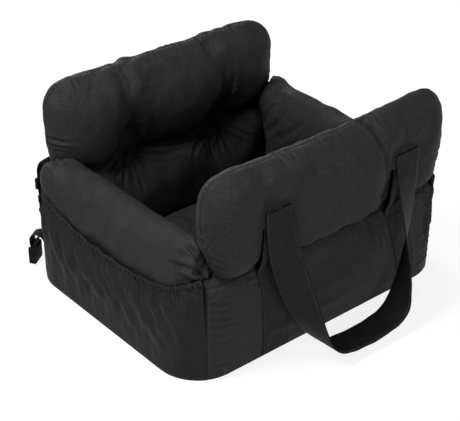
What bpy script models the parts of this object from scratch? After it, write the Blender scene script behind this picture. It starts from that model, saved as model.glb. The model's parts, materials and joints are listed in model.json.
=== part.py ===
# Dog car seat: a soft padded tub with tall front and back cushions, side rolls above gathered
# pockets, a loose seat cushion, two carrying handles and two belts in halves at the back.
# Metres, +Z up. The front faces -Y, and the origin is on the floor under the tub's centre.
import math

import bmesh
import bpy
from mathutils import Matrix, Vector
from mathutils.bvhtree import BVHTree

# Clearance between pieces that touch, and how far a cutter runs past what it cuts
GAP = 0.0003
OVERRUN = 0.004

# Tub
BODY_WIDTH = 0.595
BODY_DEPTH = 0.473
CORNER_RADIUS = 0.080
SEAM_ANGLE = math.radians(60)      # round the corner from the side's own direction
WAIST_HEIGHT = 0.183               # where the walls end and the end cushions start
SIDE_WALL_BELOW_WAIST = 0.055
SIDE_WALL_HEIGHT = WAIST_HEIGHT - SIDE_WALL_BELOW_WAIST
COVER_THICKNESS = 0.0025
COVER_DRAW_IN = 0.002              # the cover is pulled in at its foot and at the waist
COVER_FOOT = 0.0010
WAIST_TUCK = 0.0100                # the end covers turn in by this much to meet the cushions
WAIST_TUCK_HEIGHT = 0.0160
SEAM_WIDTH = 0.0030

# Base
BASE_CLOTH_THICKNESS = 0.0020
BASE_INSET = 0.0050
BASE_BOARD_THICKNESS = 0.0040
BASE_FOAM_THICKNESS = 0.0120

# Wall boards and the padded lower linings
BOARD_THICKNESS = 0.010
BOARD_BEVEL = 0.002
END_BOARD_SIDE_INSET = 0.1075
END_BOARD_HALF = BODY_WIDTH / 2 - END_BOARD_SIDE_INSET
SIDE_BOARD_END_INSET = 0.1245
SIDE_BOARD_HALF = BODY_DEPTH / 2 - SIDE_BOARD_END_INSET
LINING_SIDE_INSET = 0.0495
LINING_HALF_WIDTH = BODY_WIDTH / 2 - LINING_SIDE_INSET
FRONT_LINING_DEPTH = 0.050
BACK_LINING_DEPTH = 0.068
LINING_CLEARANCE = 0.0010

# Front and back cushions
FRONT_CUSHION_HEIGHT = 0.187
BACK_CUSHION_HEIGHT = 0.178
CUSHION_TOP_SAG = 0.007
CUSHION_TOP_POWER = 3              # how square the cushion's section is above its middle
CUSHION_LOW_POWER = 7              # and below it on the outer face, where it overhangs the wall
CUSHION_PLANE_INSET = 0.0180       # the rim seam's plane lies this far inside the tub's face
FRONT_CUSHION_SIDE_INSET = 0.0385
FRONT_CUSHION_HALF_WIDTH = BODY_WIDTH / 2 - FRONT_CUSHION_SIDE_INSET
BACK_CUSHION_SIDE_INSET = 0.0445
BACK_CUSHION_HALF_WIDTH = BODY_WIDTH / 2 - BACK_CUSHION_SIDE_INSET
CUSHION_PLANE_BACK_INSET = 0.0240
CUSHION_OUTER_CROWN = 0.041
CUSHION_INNER_CROWN = 0.040
CUSHION_TOP_CORNER = 0.044
CUSHION_LOW_CORNER = 0.037
TUFT_RADIUS = 0.030
BACK_TUFT_X = 0.103
BACK_TUFT_OFFSET_X = 0.012
BACK_TUFT_RISE = 0.010
BACK_CUSHION_TILT = 0.003          # its right end is lower by twice this than its left end
BACK_RIGHT_TOP_CORNER = 0.058
CHANNEL_RADIUS = 0.037
CHANNEL_FADE = 0.045
CHANNEL_TOP_SHARE = 0.36
CHANNEL_FOOT_SHARE = 0.80

# Side rolls
ROLL_ABOVE_WAIST = 0.057
ROLL_HEIGHT = WAIST_HEIGHT + ROLL_ABOVE_WAIST
ROLL_SAG = 0.010
ROLL_WIDTH = 0.100
ROLL_BULGE = 0.0050
FRONT_PINCH_ABOVE_WAIST = 0.013
ROLL_FRONT_PINCH_HEIGHT = WAIST_HEIGHT + FRONT_PINCH_ABOVE_WAIST
BACK_PINCH_ABOVE_WAIST = 0.031
ROLL_BACK_PINCH_HEIGHT = WAIST_HEIGHT + BACK_PINCH_ABOVE_WAIST
ROLL_FULL_Y = 0.130                # the roll keeps its full section this far from its middle
ROLL_END_POWER = 2.4               # how square its ends are beyond that
ROLL_PINCH_SHARE = 0.045           # what is left of its section at the corner seams
ROLL_CLEARANCE = 0.0024            # where its ends press against the cushions and linings
ROLL_PRESS_REACH = 0.0080          # and how far round a place those are looked for
ROLL_STATIONS = 30
ROLL_SIDE_STEPS = 4

# Loose seat cushion
SEAT_SIDE_CLEARANCE = 0.0095        # inside the rolls
SEAT_HALF_WIDTH = BODY_WIDTH / 2 - ROLL_WIDTH - SEAT_SIDE_CLEARANCE
SEAT_THICKNESS = 0.056
SEAT_RIM_HEIGHT = 0.022
SEAT_CORNER = 0.045
SEAT_CLEARANCE = 0.003
SEAT_CHANNEL_DEPTH = 0.010
SEAT_CHANNEL_WIDTH = 0.010
SEAT_CHANNEL_INSET = 0.068
SEAT_CHANNEL_HALF_X = SEAT_HALF_WIDTH - SEAT_CHANNEL_INSET
SEAT_CHANNEL_HALF_Y = 0.085

# The roll above the pocket's mouth: shares of its bulge, of its width and of its rise
ROLL_BULGE_SHARES = (0.4, 1.0, 0.5, 0.0, 0.0, 0.0, 0.0, 0.0)
ROLL_WIDTH_SHARES = (0.0, 0.03, 0.10, 0.22, 0.39, 0.56, 0.71, 0.81)
ROLL_RISE_SHARES = (0.22, 0.50, 0.74, 0.91, 1.0, 0.95, 0.77, 0.44)
ROLL_SIDE_FALL_SHARE = 0.10        # its inner side starts this share of the rise below the mouth
ROLL_BELLY_SHARE = 0.35            # and keeps its width down to this share of the mouth's height
ROLL_FOOT_SHARE = 0.97

# Gathered pockets
POCKET_THICKNESS = 0.0020
POCKET_SPACE = 0.0160              # from the pocket's face to the side cover behind it
POCKET_MOUTH_INSET = 0.0050
POCKET_MOUTH_GAP = 0.0045          # left open between the elastic and the roll
POCKET_ABOVE_WAIST = 0.009
POCKET_CORNER_HEIGHT = WAIST_HEIGHT + POCKET_ABOVE_WAIST
POCKET_MOUTH_SAG = 0.052
POCKET_FOLD_DEPTH = 0.0018
POCKET_FOLDS = 11
POCKET_SLANT_SHARE = 0.12          # the folds lean this share of the pocket over its height
POCKET_FLAT_SHARE = 0.40           # the folds die out over the lowest part
ELASTIC_RADIUS = 0.0015

# Handles and the bands that carry them
STRAP_WIDTH = 0.055
STRAP_THICKNESS = 0.0022
BAND_WIDTH = 0.0520
BAND_THICKNESS = 0.0012
BAND_LIFT = 0.0006
BAND_COLUMNS = 4
BAND_ROWS = 22
HANDLE_HALF_SPAN = 0.142
HANDLE_OFFSET_X = 0.008            # the handles are sewn a little off the middle
HANDLE_ABOVE_WAIST = 0.110
HANDLE_ROOT_HEIGHT = WAIST_HEIGHT + HANDLE_ABOVE_WAIST
HANDLE_STAND_OFF = 0.058
HANDLE_FLOOR_GAP = 0.018
HANDLE_LOOP_HALF = 0.074
HANDLE_STEPS = 44
HANDLE_CLEARANCE = 0.0021          # between sampled places the faces stand a little further out

# The handle's left arm from its root down: shares of its draw-in, stand-off and drop
ARM_DRAW_SHARES = (0.0, 0.0, 0.08, 0.30, 0.62, 1.0)
ARM_OUT_SHARES = (0.0, 0.05, 0.24, 0.56, 0.84, 0.98)
ARM_DROP_SHARES = (0.0, 0.10, 0.33, 0.60, 0.83, 0.96)
LOOP_FLAT_SHARE = 0.34
TWIST_START_SHARE = 0.04
TWIST_SPAN_SHARE = 0.36
BAND_FOOT = 0.004
BAND_TOP_MARGIN = 0.012

# Belts, their slider, clips and sockets
BELT_WIDTH = 0.025
BELT_THICKNESS = 0.0016
UPPER_BELT_ANGLE = math.radians(75)    # round the corner from the side's own direction
LOWER_BELT_ANGLE = math.radians(56)
UPPER_BELT_BELOW_WAIST = 0.018
UPPER_BELT_ROOT = WAIST_HEIGHT - UPPER_BELT_BELOW_WAIST
LOWER_BELT_ROOT = 0.0550
UPPER_BELT_OUT = 0.020
LOWER_BELT_OUT = 0.028
UPPER_BELT_DROP = 0.033
LOWER_BELT_DROP = 0.015
UPPER_BELT_RISE = 0.038
LOWER_BELT_RISE = 0.012
BELT_OUT_SHARES = (0.0, 0.10, 0.50, 0.94, 1.0)
BELT_RISE_SHARES = (0.0, 0.70, 1.0, 0.62, 0.10)
BELT_ARCH_STEPS = 12
BELT_LEVEL = 0.0008                # the belt is level this far to each side of its arch's top
BELT_TAIL = 0.012
BUCKLE_WIDTH = 0.033
BUCKLE_DEPTH = 0.0108
BUCKLE_RAIL = 0.0033
BUCKLE_BAR = 0.0032
CLIP_PLATE_HEIGHT = 0.0145
CLIP_THICKNESS = 0.0056
CLIP_PRONG_LENGTH = 0.025
CLIP_PRONG_WIDTH = 0.0045
CLIP_TONGUE_WIDTH = 0.0060
SOCKET_HEIGHT = 0.036
SOCKET_CAVITY_DEPTH = 0.024
SOCKET_WINDOW_HEIGHT = 0.010
SLIDER_HEIGHT = 0.021
SLIDER_BAR = 0.0040
SLIDER_DROP = 0.009                # below the belt's root

FRONT = -1
BACK = 1
LEFT = -1
RIGHT = 1


def clear_scene():
    for thing in list(bpy.data.objects):
        bpy.data.objects.remove(thing)


def make_material(name, colour, roughness, metallic=0.0):
    material = bpy.data.materials.new(name)
    material.use_nodes = True
    shader = material.node_tree.nodes["Principled BSDF"]
    shader.inputs["Base Color"].default_value = (*colour, 1.0)
    shader.inputs["Roughness"].default_value = roughness
    shader.inputs["Metallic"].default_value = metallic
    return material


def add_object(name, mesh, material, smooth=True):
    mesh.materials.clear()
    mesh.materials.append(material)
    if smooth:
        mesh.shade_smooth()
        mesh.set_sharp_from_angle(angle=math.radians(40))
    thing = bpy.data.objects.new(name, mesh)
    bpy.context.scene.collection.objects.link(thing)
    return thing


def mesh_from(name, points, faces, twisted=False):
    """A mesh from its points and faces, cut into triangles where its faces are twisted."""
    mesh = bpy.data.meshes.new(name)
    shape = bmesh.new()
    corners = [shape.verts.new(point) for point in points]
    for face in faces:
        shape.faces.new([corners[index] for index in face])
    bmesh.ops.recalc_face_normals(shape, faces=shape.faces)
    if twisted:
        bmesh.ops.triangulate(shape, faces=shape.faces)
    shape.to_mesh(mesh)
    shape.free()
    return mesh


def spread(count, low=-1.0, high=1.0):
    return [low + (high - low) * step / count for step in range(count + 1)]


def crowded(count):
    """Shares from -1 to 1 that lie closer together near both ends."""
    return [math.sin(math.pi / 2 * share) for share in spread(count)]


def smooth_step(share):
    share = min(max(share, 0.0), 1.0)
    return share * share * (3 - 2 * share)


def hump(value, centre, radius):
    return math.exp(-((value - centre) / radius) ** 2)


def slab(name, outer, inner, across, upward, material):
    """A closed sheet between two surfaces, each a function of two shares."""
    points = [outer(u, v) for v in upward for u in across]
    points += [inner(u, v) for v in upward for u in across]
    columns = len(across)
    rows = len(upward)
    under = columns * rows
    faces = []
    for row in range(rows - 1):
        for column in range(columns - 1):
            a = row * columns + column
            b = a + columns
            faces.append((a, a + 1, b + 1, b))
            faces.append((under + a, under + b, under + b + 1, under + a + 1))
    last = (rows - 1) * columns
    for column in range(columns - 1):
        for a in (column, last + column):
            faces.append((a, a + 1, under + a + 1, under + a))
    for row in range(rows - 1):
        for a in (row * columns, row * columns + columns - 1):
            faces.append((a, a + columns, under + a + columns, under + a))
    return add_object(name, mesh_from(name, points, faces), material)


def smooth_route(points, steps):
    """Points spread evenly by share along one smooth curve through the route's points."""
    ends = [2 * points[0] - points[1]] + points + [2 * points[-1] - points[-2]]
    route = []
    spans = len(points) - 1
    for step in range(steps + 1):
        place = spans * step / steps
        span = min(int(place), spans - 1)
        t = place - span
        a, b, c, d = ends[span:span + 4]
        route.append(0.5 * (2 * b + (c - a) * t + (2 * a - 5 * b + 4 * c - d) * t * t
                            + (3 * b - a - 3 * c + d) * t ** 3))
    return route


def ribbon_corners(route, width_way, width, thickness):
    """Four corners round each point of a route, with the width direction given along it."""
    corners = []
    last = len(route) - 1
    for index, place in enumerate(route):
        along = (route[min(index + 1, last)] - route[max(index - 1, 0)]).normalized()
        wide = width_way(index / last)
        wide = (wide - along * wide.dot(along)).normalized() * width / 2
        thick = along.cross(wide).normalized() * thickness / 2
        corners.append([place + wide + thick, place - wide + thick,
                        place - wide - thick, place + wide - thick])
    return corners


def ribbon(name, route, width_way, width, thickness, material):
    """A flat strap swept along a route."""
    points = [corner for ring in ribbon_corners(route, width_way, width, thickness)
              for corner in ring]
    last = len(route) - 1
    faces = [(0, 1, 2, 3), tuple(4 * last + corner for corner in range(4))]
    for index in range(last):
        for corner in range(4):
            a = 4 * index + corner
            b = 4 * index + (corner + 1) % 4
            faces.append((a, b, b + 4, a + 4))
    return add_object(name, mesh_from(name, points, faces, twisted=True), material)


def box_mesh(name, low, high):
    mesh = bpy.data.meshes.new(name)
    shape = bmesh.new()
    bmesh.ops.create_cube(shape, size=1.0)
    for vert in shape.verts:
        vert.co = Vector(low[axis] + (vert.co[axis] + 0.5) * (high[axis] - low[axis])
                         for axis in range(3))
    shape.to_mesh(mesh)
    shape.free()
    return mesh


def box(name, low, high, material, bevel=0.0):
    thing = add_object(name, box_mesh(name, low, high), material, smooth=False)
    if bevel:
        edge = thing.modifiers.new("edges", "BEVEL")
        edge.width = bevel
        edge.segments = 1
    return thing


def cut(thing, cutter):
    cutter.hide_render = True
    cutter.display_type = "WIRE"
    change = thing.modifiers.new("cut", "BOOLEAN")
    change.operation = "DIFFERENCE"
    change.solver = "EXACT"
    change.object = cutter


def cut_boxes(thing, corners, material):
    """Cuts boxes out of a piece, each given by its low and high corner in the piece's frame."""
    for index, (low, high) in enumerate(corners):
        name = f"{thing.name}_cutter_{index}"
        cutter = add_object(name, box_mesh(name, low, high), material, smooth=False)
        cutter.parent = thing
        cut(thing, cutter)


def side_place(side, along, inset, height):
    """A point on the tub's outline, measured along one side from its middle."""
    straight = BODY_DEPTH / 2 - CORNER_RADIUS
    if abs(along) <= straight:
        return Vector((side * (BODY_WIDTH / 2 - inset), along, height))
    turn = (abs(along) - straight) / CORNER_RADIUS
    way = math.copysign(1.0, along)
    reach = CORNER_RADIUS - inset
    return Vector((side * (BODY_WIDTH / 2 - CORNER_RADIUS + reach * math.cos(turn)),
                   way * (straight + reach * math.sin(turn)), height))


def end_place(end, along, inset, height):
    """A point on the tub's outline, measured along the front or back from its middle."""
    straight = BODY_WIDTH / 2 - CORNER_RADIUS
    if abs(along) <= straight:
        return Vector((along, end * (BODY_DEPTH / 2 - inset), height))
    turn = (abs(along) - straight) / CORNER_RADIUS
    way = math.copysign(1.0, along)
    reach = CORNER_RADIUS - inset
    return Vector((way * (straight + reach * math.sin(turn)),
                   end * (BODY_DEPTH / 2 - CORNER_RADIUS + reach * math.cos(turn)), height))


def outline_width(y, inset):
    """Half the tub's width at a distance from its middle, drawn in by an inset."""
    over = max(0.0, abs(y) - (BODY_DEPTH / 2 - CORNER_RADIUS))
    reach = CORNER_RADIUS - inset
    return BODY_WIDTH / 2 - CORNER_RADIUS + math.sqrt(max(0.0, reach ** 2 - over ** 2))


def outline_depth(x, inset):
    """Half the tub's depth at a distance from its middle, drawn in by an inset."""
    over = max(0.0, abs(x) - (BODY_WIDTH / 2 - CORNER_RADIUS))
    reach = CORNER_RADIUS - inset
    return BODY_DEPTH / 2 - CORNER_RADIUS + math.sqrt(max(0.0, reach ** 2 - over ** 2))


SIDE_SEAM = BODY_DEPTH / 2 - CORNER_RADIUS + CORNER_RADIUS * SEAM_ANGLE
END_SEAM = BODY_WIDTH / 2 - CORNER_RADIUS + CORNER_RADIUS * (math.pi / 2 - SEAM_ANGLE)


def cover_draw(height_share):
    """How far an end wall's outer cover is pulled in at a share of its height."""
    below = (1 - height_share) * (WAIST_HEIGHT - COVER_FOOT)
    tuck = WAIST_TUCK * max(0.0, 1 - below / WAIST_TUCK_HEIGHT) ** 2
    return COVER_DRAW_IN * (2 * height_share - 1) ** 4 + tuck


def cover_rows():
    """Shares of an end cover's height: even at first, then close where it turns in."""
    turned = WAIST_TUCK_HEIGHT / (WAIST_HEIGHT - COVER_FOOT)
    return spread(5, 0.0, 1 - turned) + spread(3, 1 - turned)[1:]


def wall_stations(straight, seam, straight_steps, corner_steps):
    """Places along a wall: few on its straight run, more round its two corners."""
    corner = [straight + (seam - straight) * step / corner_steps
              for step in range(1, corner_steps + 1)]
    return ([-place for place in reversed(corner)]
            + [straight * share for share in spread(straight_steps)] + corner)


def outline_mesh(name, inset, low, high):
    """A flat plate with the tub's rounded outline, drawn in by an inset."""
    radius = CORNER_RADIUS - inset
    points = []
    steps = 8
    for quarter in range(4):
        for step in range(steps + 1):
            turn = math.pi / 2 * (quarter + step / steps)
            way_x = 1 if quarter in (0, 3) else -1
            way_y = 1 if quarter in (0, 1) else -1
            points.append((way_x * (BODY_WIDTH / 2 - CORNER_RADIUS) + radius * math.cos(turn),
                           way_y * (BODY_DEPTH / 2 - CORNER_RADIUS) + radius * math.sin(turn)))
    count = len(points)
    corners = [(x, y, low) for x, y in points] + [(x, y, high) for x, y in points]
    faces = [tuple(range(count)), tuple(range(count, 2 * count))]
    for index in range(count):
        after = (index + 1) % count
        faces.append((index, after, count + after, count + index))
    return mesh_from(name, corners, faces)


def build_base(cloth, board, foam):
    plate_top = BASE_CLOTH_THICKNESS
    add_object("base_cloth", outline_mesh("base_cloth", BASE_INSET, 0.0, plate_top),
               cloth, smooth=False)
    board_low = plate_top + GAP
    board_top = board_low + BASE_BOARD_THICKNESS
    inset = side_cover_inset() + COVER_THICKNESS + 2 * GAP
    add_object("base_board", outline_mesh("base_board", inset, board_low, board_top),
               board, smooth=False)
    foam_low = board_top + GAP
    half_x = BODY_WIDTH / 2 - ROLL_WIDTH - GAP
    low = (-half_x, lining_face(FRONT) + GAP, foam_low)
    high = (half_x, lining_face(BACK) - GAP, foam_low + BASE_FOAM_THICKNESS)
    box("base_foam", low, high, foam)


def board_floor():
    return BASE_CLOTH_THICKNESS + GAP + BASE_BOARD_THICKNESS + GAP


def foam_top():
    return board_floor() + BASE_FOAM_THICKNESS


def end_board_face(end):
    """The inner face of the board in the front or back wall."""
    return end * (BODY_DEPTH / 2 - COVER_DRAW_IN - COVER_THICKNESS - GAP - BOARD_THICKNESS)


def lining_face(end):
    """Where the padded lining's crown reaches into the tub."""
    depth = FRONT_LINING_DEPTH if end == FRONT else BACK_LINING_DEPTH
    return end_board_face(end) - end * (GAP + depth)


def side_cover_inset():
    return POCKET_SPACE


def side_board_face(side):
    """The inner face of the board in a side wall."""
    inset = side_cover_inset() + COVER_THICKNESS + GAP + BOARD_THICKNESS
    return side * (BODY_WIDTH / 2 - inset)


def build_end_wall(end, word, cloth, foam, lining):
    stations = wall_stations(BODY_WIDTH / 2 - CORNER_RADIUS, END_SEAM - GAP, 8, 3)
    span = WAIST_HEIGHT - COVER_FOOT

    def face(inset):
        def place(along, share):
            return end_place(end, along, inset + cover_draw(share), COVER_FOOT + span * share)
        return place

    cover = slab(word + "_cover", face(0.0), face(COVER_THICKNESS), stations,
                 cover_rows(), cloth)

    outer = end * (BODY_DEPTH / 2 - COVER_DRAW_IN - COVER_THICKNESS - GAP)
    inner = end_board_face(end)
    low = (-END_BOARD_HALF, min(outer, inner), board_floor())
    high = (END_BOARD_HALF, max(outer, inner), WAIST_HEIGHT - WAIST_TUCK_HEIGHT)
    box(word + "_board", low, high, foam, bevel=BOARD_BEVEL)

    depth = FRONT_LINING_DEPTH if end == FRONT else BACK_LINING_DEPTH
    back_face = inner - end * GAP

    def flat(u, v):
        x = u * LINING_HALF_WIDTH
        behind = COVER_DRAW_IN + WAIST_TUCK + COVER_THICKNESS + LINING_CLEARANCE
        y = min(abs(back_face), outline_depth(x, behind))
        return Vector((x, end * y,
                       board_floor() + (WAIST_HEIGHT - board_floor()) * (v + 1) / 2))

    def puffed(u, v):
        rise = SEAM_WIDTH + (depth - SEAM_WIDTH) * crown(u, v, 6, 4)
        point = flat(u, v)
        if end == BACK:
            for tuft in (BACK_TUFT_OFFSET_X - BACK_TUFT_X, BACK_TUFT_OFFSET_X + BACK_TUFT_X):
                pull = hump(point.x, tuft, TUFT_RADIUS) * hump(point.z, WAIST_HEIGHT, TUFT_RADIUS)
                rise -= (rise - SEAM_WIDTH) * pull
        return point - Vector((0.0, end * rise, 0.0))

    padding = slab(word + "_lining", flat, puffed, crowded(14), crowded(8), lining)
    return cover, padding


def crown(u, v, across_power, upward_power):
    """The share of a cushion's full height at a place on its face."""
    return math.sqrt(max(0.0, (1 - abs(u) ** across_power) * (1 - abs(v) ** upward_power)))


def cushion_plane(end):
    inset = CUSHION_PLANE_INSET if end == FRONT else CUSHION_PLANE_BACK_INSET
    return end * (BODY_DEPTH / 2 - inset)


def cushion_height(end):
    return FRONT_CUSHION_HEIGHT if end == FRONT else BACK_CUSHION_HEIGHT


def cushion_half_width(end):
    return FRONT_CUSHION_HALF_WIDTH if end == FRONT else BACK_CUSHION_HALF_WIDTH


def cushion_rim(end, side, share):
    """Half the cushion's width at a share of its height, with round corners."""
    half = cushion_half_width(end)
    height = cushion_height(end) * (share + 1) / 2
    top_corner = BACK_RIGHT_TOP_CORNER if (end, side) == (BACK, RIGHT) else CUSHION_TOP_CORNER
    for distance, radius in ((height, CUSHION_LOW_CORNER),
                             (cushion_height(end) - height, top_corner)):
        if distance < radius:
            return half - radius + math.sqrt(radius ** 2 - (radius - distance) ** 2)
    return half


def handle_x(side):
    return HANDLE_OFFSET_X + side * HANDLE_HALF_SPAN


def channel_depth(x, z):
    """How far the handle bands draw the cushion in, as a share of its crown."""
    pull = 0.0
    for side in (LEFT, RIGHT):
        along = smooth_step((HANDLE_ROOT_HEIGHT + CHANNEL_FADE - z) / CHANNEL_FADE)
        low_share = smooth_step((HANDLE_ROOT_HEIGHT - z) / (HANDLE_ROOT_HEIGHT - WAIST_HEIGHT))
        depth = CHANNEL_TOP_SHARE + (CHANNEL_FOOT_SHARE - CHANNEL_TOP_SHARE) * low_share
        pull = max(pull, depth * along * hump(x, handle_x(side), CHANNEL_RADIUS))
    return pull


def cushion_face(end, outward):
    """The outer or inner face of the front or back cushion."""
    crown_height = CUSHION_OUTER_CROWN if outward else CUSHION_INNER_CROWN
    way = end if outward else -end

    def place(u, v):
        x = u * cushion_rim(end, RIGHT if u > 0 else LEFT, v)
        sag = CUSHION_TOP_SAG * (1 - u * u) if end == FRONT else BACK_CUSHION_TILT * (1 + u)
        sag *= smooth_step(v)
        z = WAIST_HEIGHT + GAP + cushion_height(end) * (v + 1) / 2 - sag
        fullness = CUSHION_LOW_POWER if outward and v < 0 else CUSHION_TOP_POWER
        rise = SEAM_WIDTH / 2 + (crown_height - SEAM_WIDTH / 2) * crown(u, v, 6, fullness)
        if outward:
            rise -= (rise - SEAM_WIDTH / 2) * channel_depth(x, z)
        elif end == BACK:
            for tuft in (BACK_TUFT_OFFSET_X - BACK_TUFT_X, BACK_TUFT_OFFSET_X + BACK_TUFT_X):
                pull = (hump(x, tuft, TUFT_RADIUS)
                        * hump(z, WAIST_HEIGHT + BACK_TUFT_RISE, 2 * TUFT_RADIUS))
                rise -= (rise - SEAM_WIDTH / 2) * pull
        return Vector((x, cushion_plane(end) + way * rise, z))

    return place


def build_end_cushion(end, word, cloth):
    return slab(word + "_cushion", cushion_face(end, True), cushion_face(end, False),
                crowded(26), crowded(12), cloth)


def mouth_height(share):
    """The height of a pocket's elastic mouth, from the front seam (-1) to the back seam (1)."""
    return POCKET_CORNER_HEIGHT - POCKET_MOUTH_SAG * (1 - abs(share) ** 2.2)


def pocket_fold(share, height_share):
    slanted = share + POCKET_SLANT_SHARE * height_share
    return POCKET_FOLD_DEPTH * math.sin(math.pi * POCKET_FOLDS * slanted)


def pocket_inset(share, height_share):
    """How far the pocket's outer face lies inside the tub's outline."""
    foot = COVER_DRAW_IN * (1 - height_share) ** 4
    mouth = POCKET_MOUTH_INSET * height_share ** 3
    fade = (1 - abs(share) ** 6) * smooth_step(height_share / POCKET_FLAT_SHARE)
    return foot + mouth + (POCKET_FOLD_DEPTH + pocket_fold(share, height_share)) * fade


def build_side_wall(side, word, cloth, foam, elastic):
    limit = SIDE_SEAM - GAP
    straight = BODY_DEPTH / 2 - CORNER_RADIUS

    def pocket_face(depth):
        def place(u, v):
            height = COVER_FOOT + (mouth_height(u) - COVER_FOOT) * v
            return side_place(side, u * limit, pocket_inset(u, v) + depth, height)
        return place

    slab(word + "_pocket", pocket_face(0.0), pocket_face(POCKET_THICKNESS),
         spread(34), spread(5, 0.0), cloth)

    foot = BASE_CLOTH_THICKNESS + GAP

    def cover_face(depth):
        def place(along, share):
            height = foot + (SIDE_WALL_HEIGHT - foot) * share
            return side_place(side, along, side_cover_inset() + depth, height)
        return place

    stations = wall_stations(straight, limit, 4, 5)
    slab(word + "_cover", cover_face(0.0), cover_face(COVER_THICKNESS), stations,
         spread(2, 0.0), cloth)

    outer = side * (BODY_WIDTH / 2 - side_cover_inset() - COVER_THICKNESS - GAP)
    inner = side_board_face(side)
    low = (min(outer, inner), -SIDE_BOARD_HALF, board_floor())
    high = (max(outer, inner), SIDE_BOARD_HALF, SIDE_WALL_HEIGHT)
    box(word + "_board", low, high, foam, bevel=BOARD_BEVEL)

    elastic_curve = bpy.data.curves.new(word + "_elastic", "CURVE")
    elastic_curve.dimensions = "3D"
    elastic_curve.bevel_depth = ELASTIC_RADIUS
    elastic_curve.bevel_resolution = 1
    elastic_curve.use_fill_caps = True
    shares = spread(36, -0.94, 0.94)
    line = elastic_curve.splines.new("POLY")
    line.points.add(len(shares) - 1)
    for point, share in zip(line.points, shares):
        inset = pocket_inset(share, 1.0)
        height = mouth_height(share) + ELASTIC_RADIUS + GAP
        point.co = (*side_place(side, share * limit, inset, height), 1.0)
    elastic_curve.materials.append(elastic)
    thing = bpy.data.objects.new(word + "_elastic", elastic_curve)
    bpy.context.scene.collection.objects.link(thing)


def roll_inset(share):
    """How far the roll lies inside the tub's outline at a share of the pocket's mouth."""
    opened = 1 - abs(share) ** 6
    return (POCKET_MOUTH_INSET + POCKET_THICKNESS + ELASTIC_RADIUS + 2 * GAP
            + (2 * POCKET_FOLD_DEPTH + POCKET_MOUTH_GAP) * opened)


def roll_share(y):
    """The share from 0 to 1 of the way to the corner seam at a distance from the middle."""
    over = max(0.0, abs(y) - (BODY_DEPTH / 2 - CORNER_RADIUS))
    arc = min(abs(y), BODY_DEPTH / 2 - CORNER_RADIUS)
    arc += CORNER_RADIUS * math.asin(over / (CORNER_RADIUS - roll_inset(1.0)))
    return min(1.0, arc / (SIDE_SEAM - GAP))


def roll_section(share):
    """The roll's cross-section at a place along it: inset from the outline, and height."""
    outer = roll_inset(share)
    mouth = mouth_height(share)
    top = ROLL_HEIGHT - ROLL_SAG * (1 - share ** 2)
    rise = top - mouth
    shelf = SIDE_WALL_HEIGHT + GAP
    board = side_cover_inset() + COVER_THICKNESS + GAP + BOARD_THICKNESS + GAP
    belly = board_floor() + ROLL_BELLY_SHARE * (mouth - board_floor())
    section = [(board, board_floor()), (board, shelf), (outer, shelf), (outer, mouth)]
    for bulge, across, up in zip(ROLL_BULGE_SHARES, ROLL_WIDTH_SHARES, ROLL_RISE_SHARES):
        section.append((outer - ROLL_BULGE * bulge + ROLL_WIDTH * across, mouth + rise * up))
    for height in spread(ROLL_SIDE_STEPS, mouth - ROLL_SIDE_FALL_SHARE * rise, belly):
        section.append((ROLL_WIDTH - GAP, height))
    section.append((ROLL_WIDTH * ROLL_FOOT_SHARE, board_floor()))
    return section


def pressed(point, trees):
    """Moves a point back along the tub where a cushion or lining is in its way."""
    way = math.copysign(1.0, point.y)
    reach = abs(point.y)
    for tree in trees:
        for right in (-ROLL_PRESS_REACH, 0.0, ROLL_PRESS_REACH):
            for up in (-ROLL_PRESS_REACH, 0.0, ROLL_PRESS_REACH):
                start = Vector((point.x + right, 0.0, point.z + up))
                spot = tree.ray_cast(start, Vector((0.0, way, 0.0)))[0]
                if spot is not None:
                    reach = min(reach, abs(spot.y) - ROLL_CLEARANCE)
    return Vector((point.x, way * reach, point.z))


def build_roll(side, word, trees, cloth):
    """A side roll that fills the wall's top, pressed against the cushions at both ends."""
    end_y = BODY_DEPTH / 2 - CORNER_RADIUS
    end_y += (CORNER_RADIUS - roll_inset(1.0)) * math.sin(SEAM_ANGLE) - 2 * GAP
    rings = []
    for place in crowded(ROLL_STATIONS):
        y = place * end_y
        pinch = ROLL_BACK_PINCH_HEIGHT if y > 0 else ROLL_FRONT_PINCH_HEIGHT
        beyond = min(1.0, max(0.0, abs(y) - ROLL_FULL_Y) / (end_y - ROLL_FULL_Y))
        full = (1 - beyond ** ROLL_END_POWER) ** (1 / ROLL_END_POWER)
        full = ROLL_PINCH_SHARE + (1 - ROLL_PINCH_SHARE) * full
        share = roll_share(y)
        outer = roll_inset(share)
        edge = outline_width(y, outer)
        ring = []
        for inset, height in roll_section(share):
            x = side * (edge - (inset - outer) * full)
            z = pinch + (height - pinch) * full
            ring.append(pressed(Vector((x, y, z)), trees))
        rings.append(ring)
    count = len(rings[0])
    points = [point for ring in rings for point in ring]
    last = (len(rings) - 1) * count
    faces = [tuple(range(count)), tuple(last + index for index in range(count))]
    for ring in range(len(rings) - 1):
        for index in range(count):
            after = (index + 1) % count
            a = ring * count
            faces.append((a + index, a + after, a + count + after, a + count + index))
    add_object(word + "_roll", mesh_from(word + "_roll", points, faces), cloth)


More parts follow.
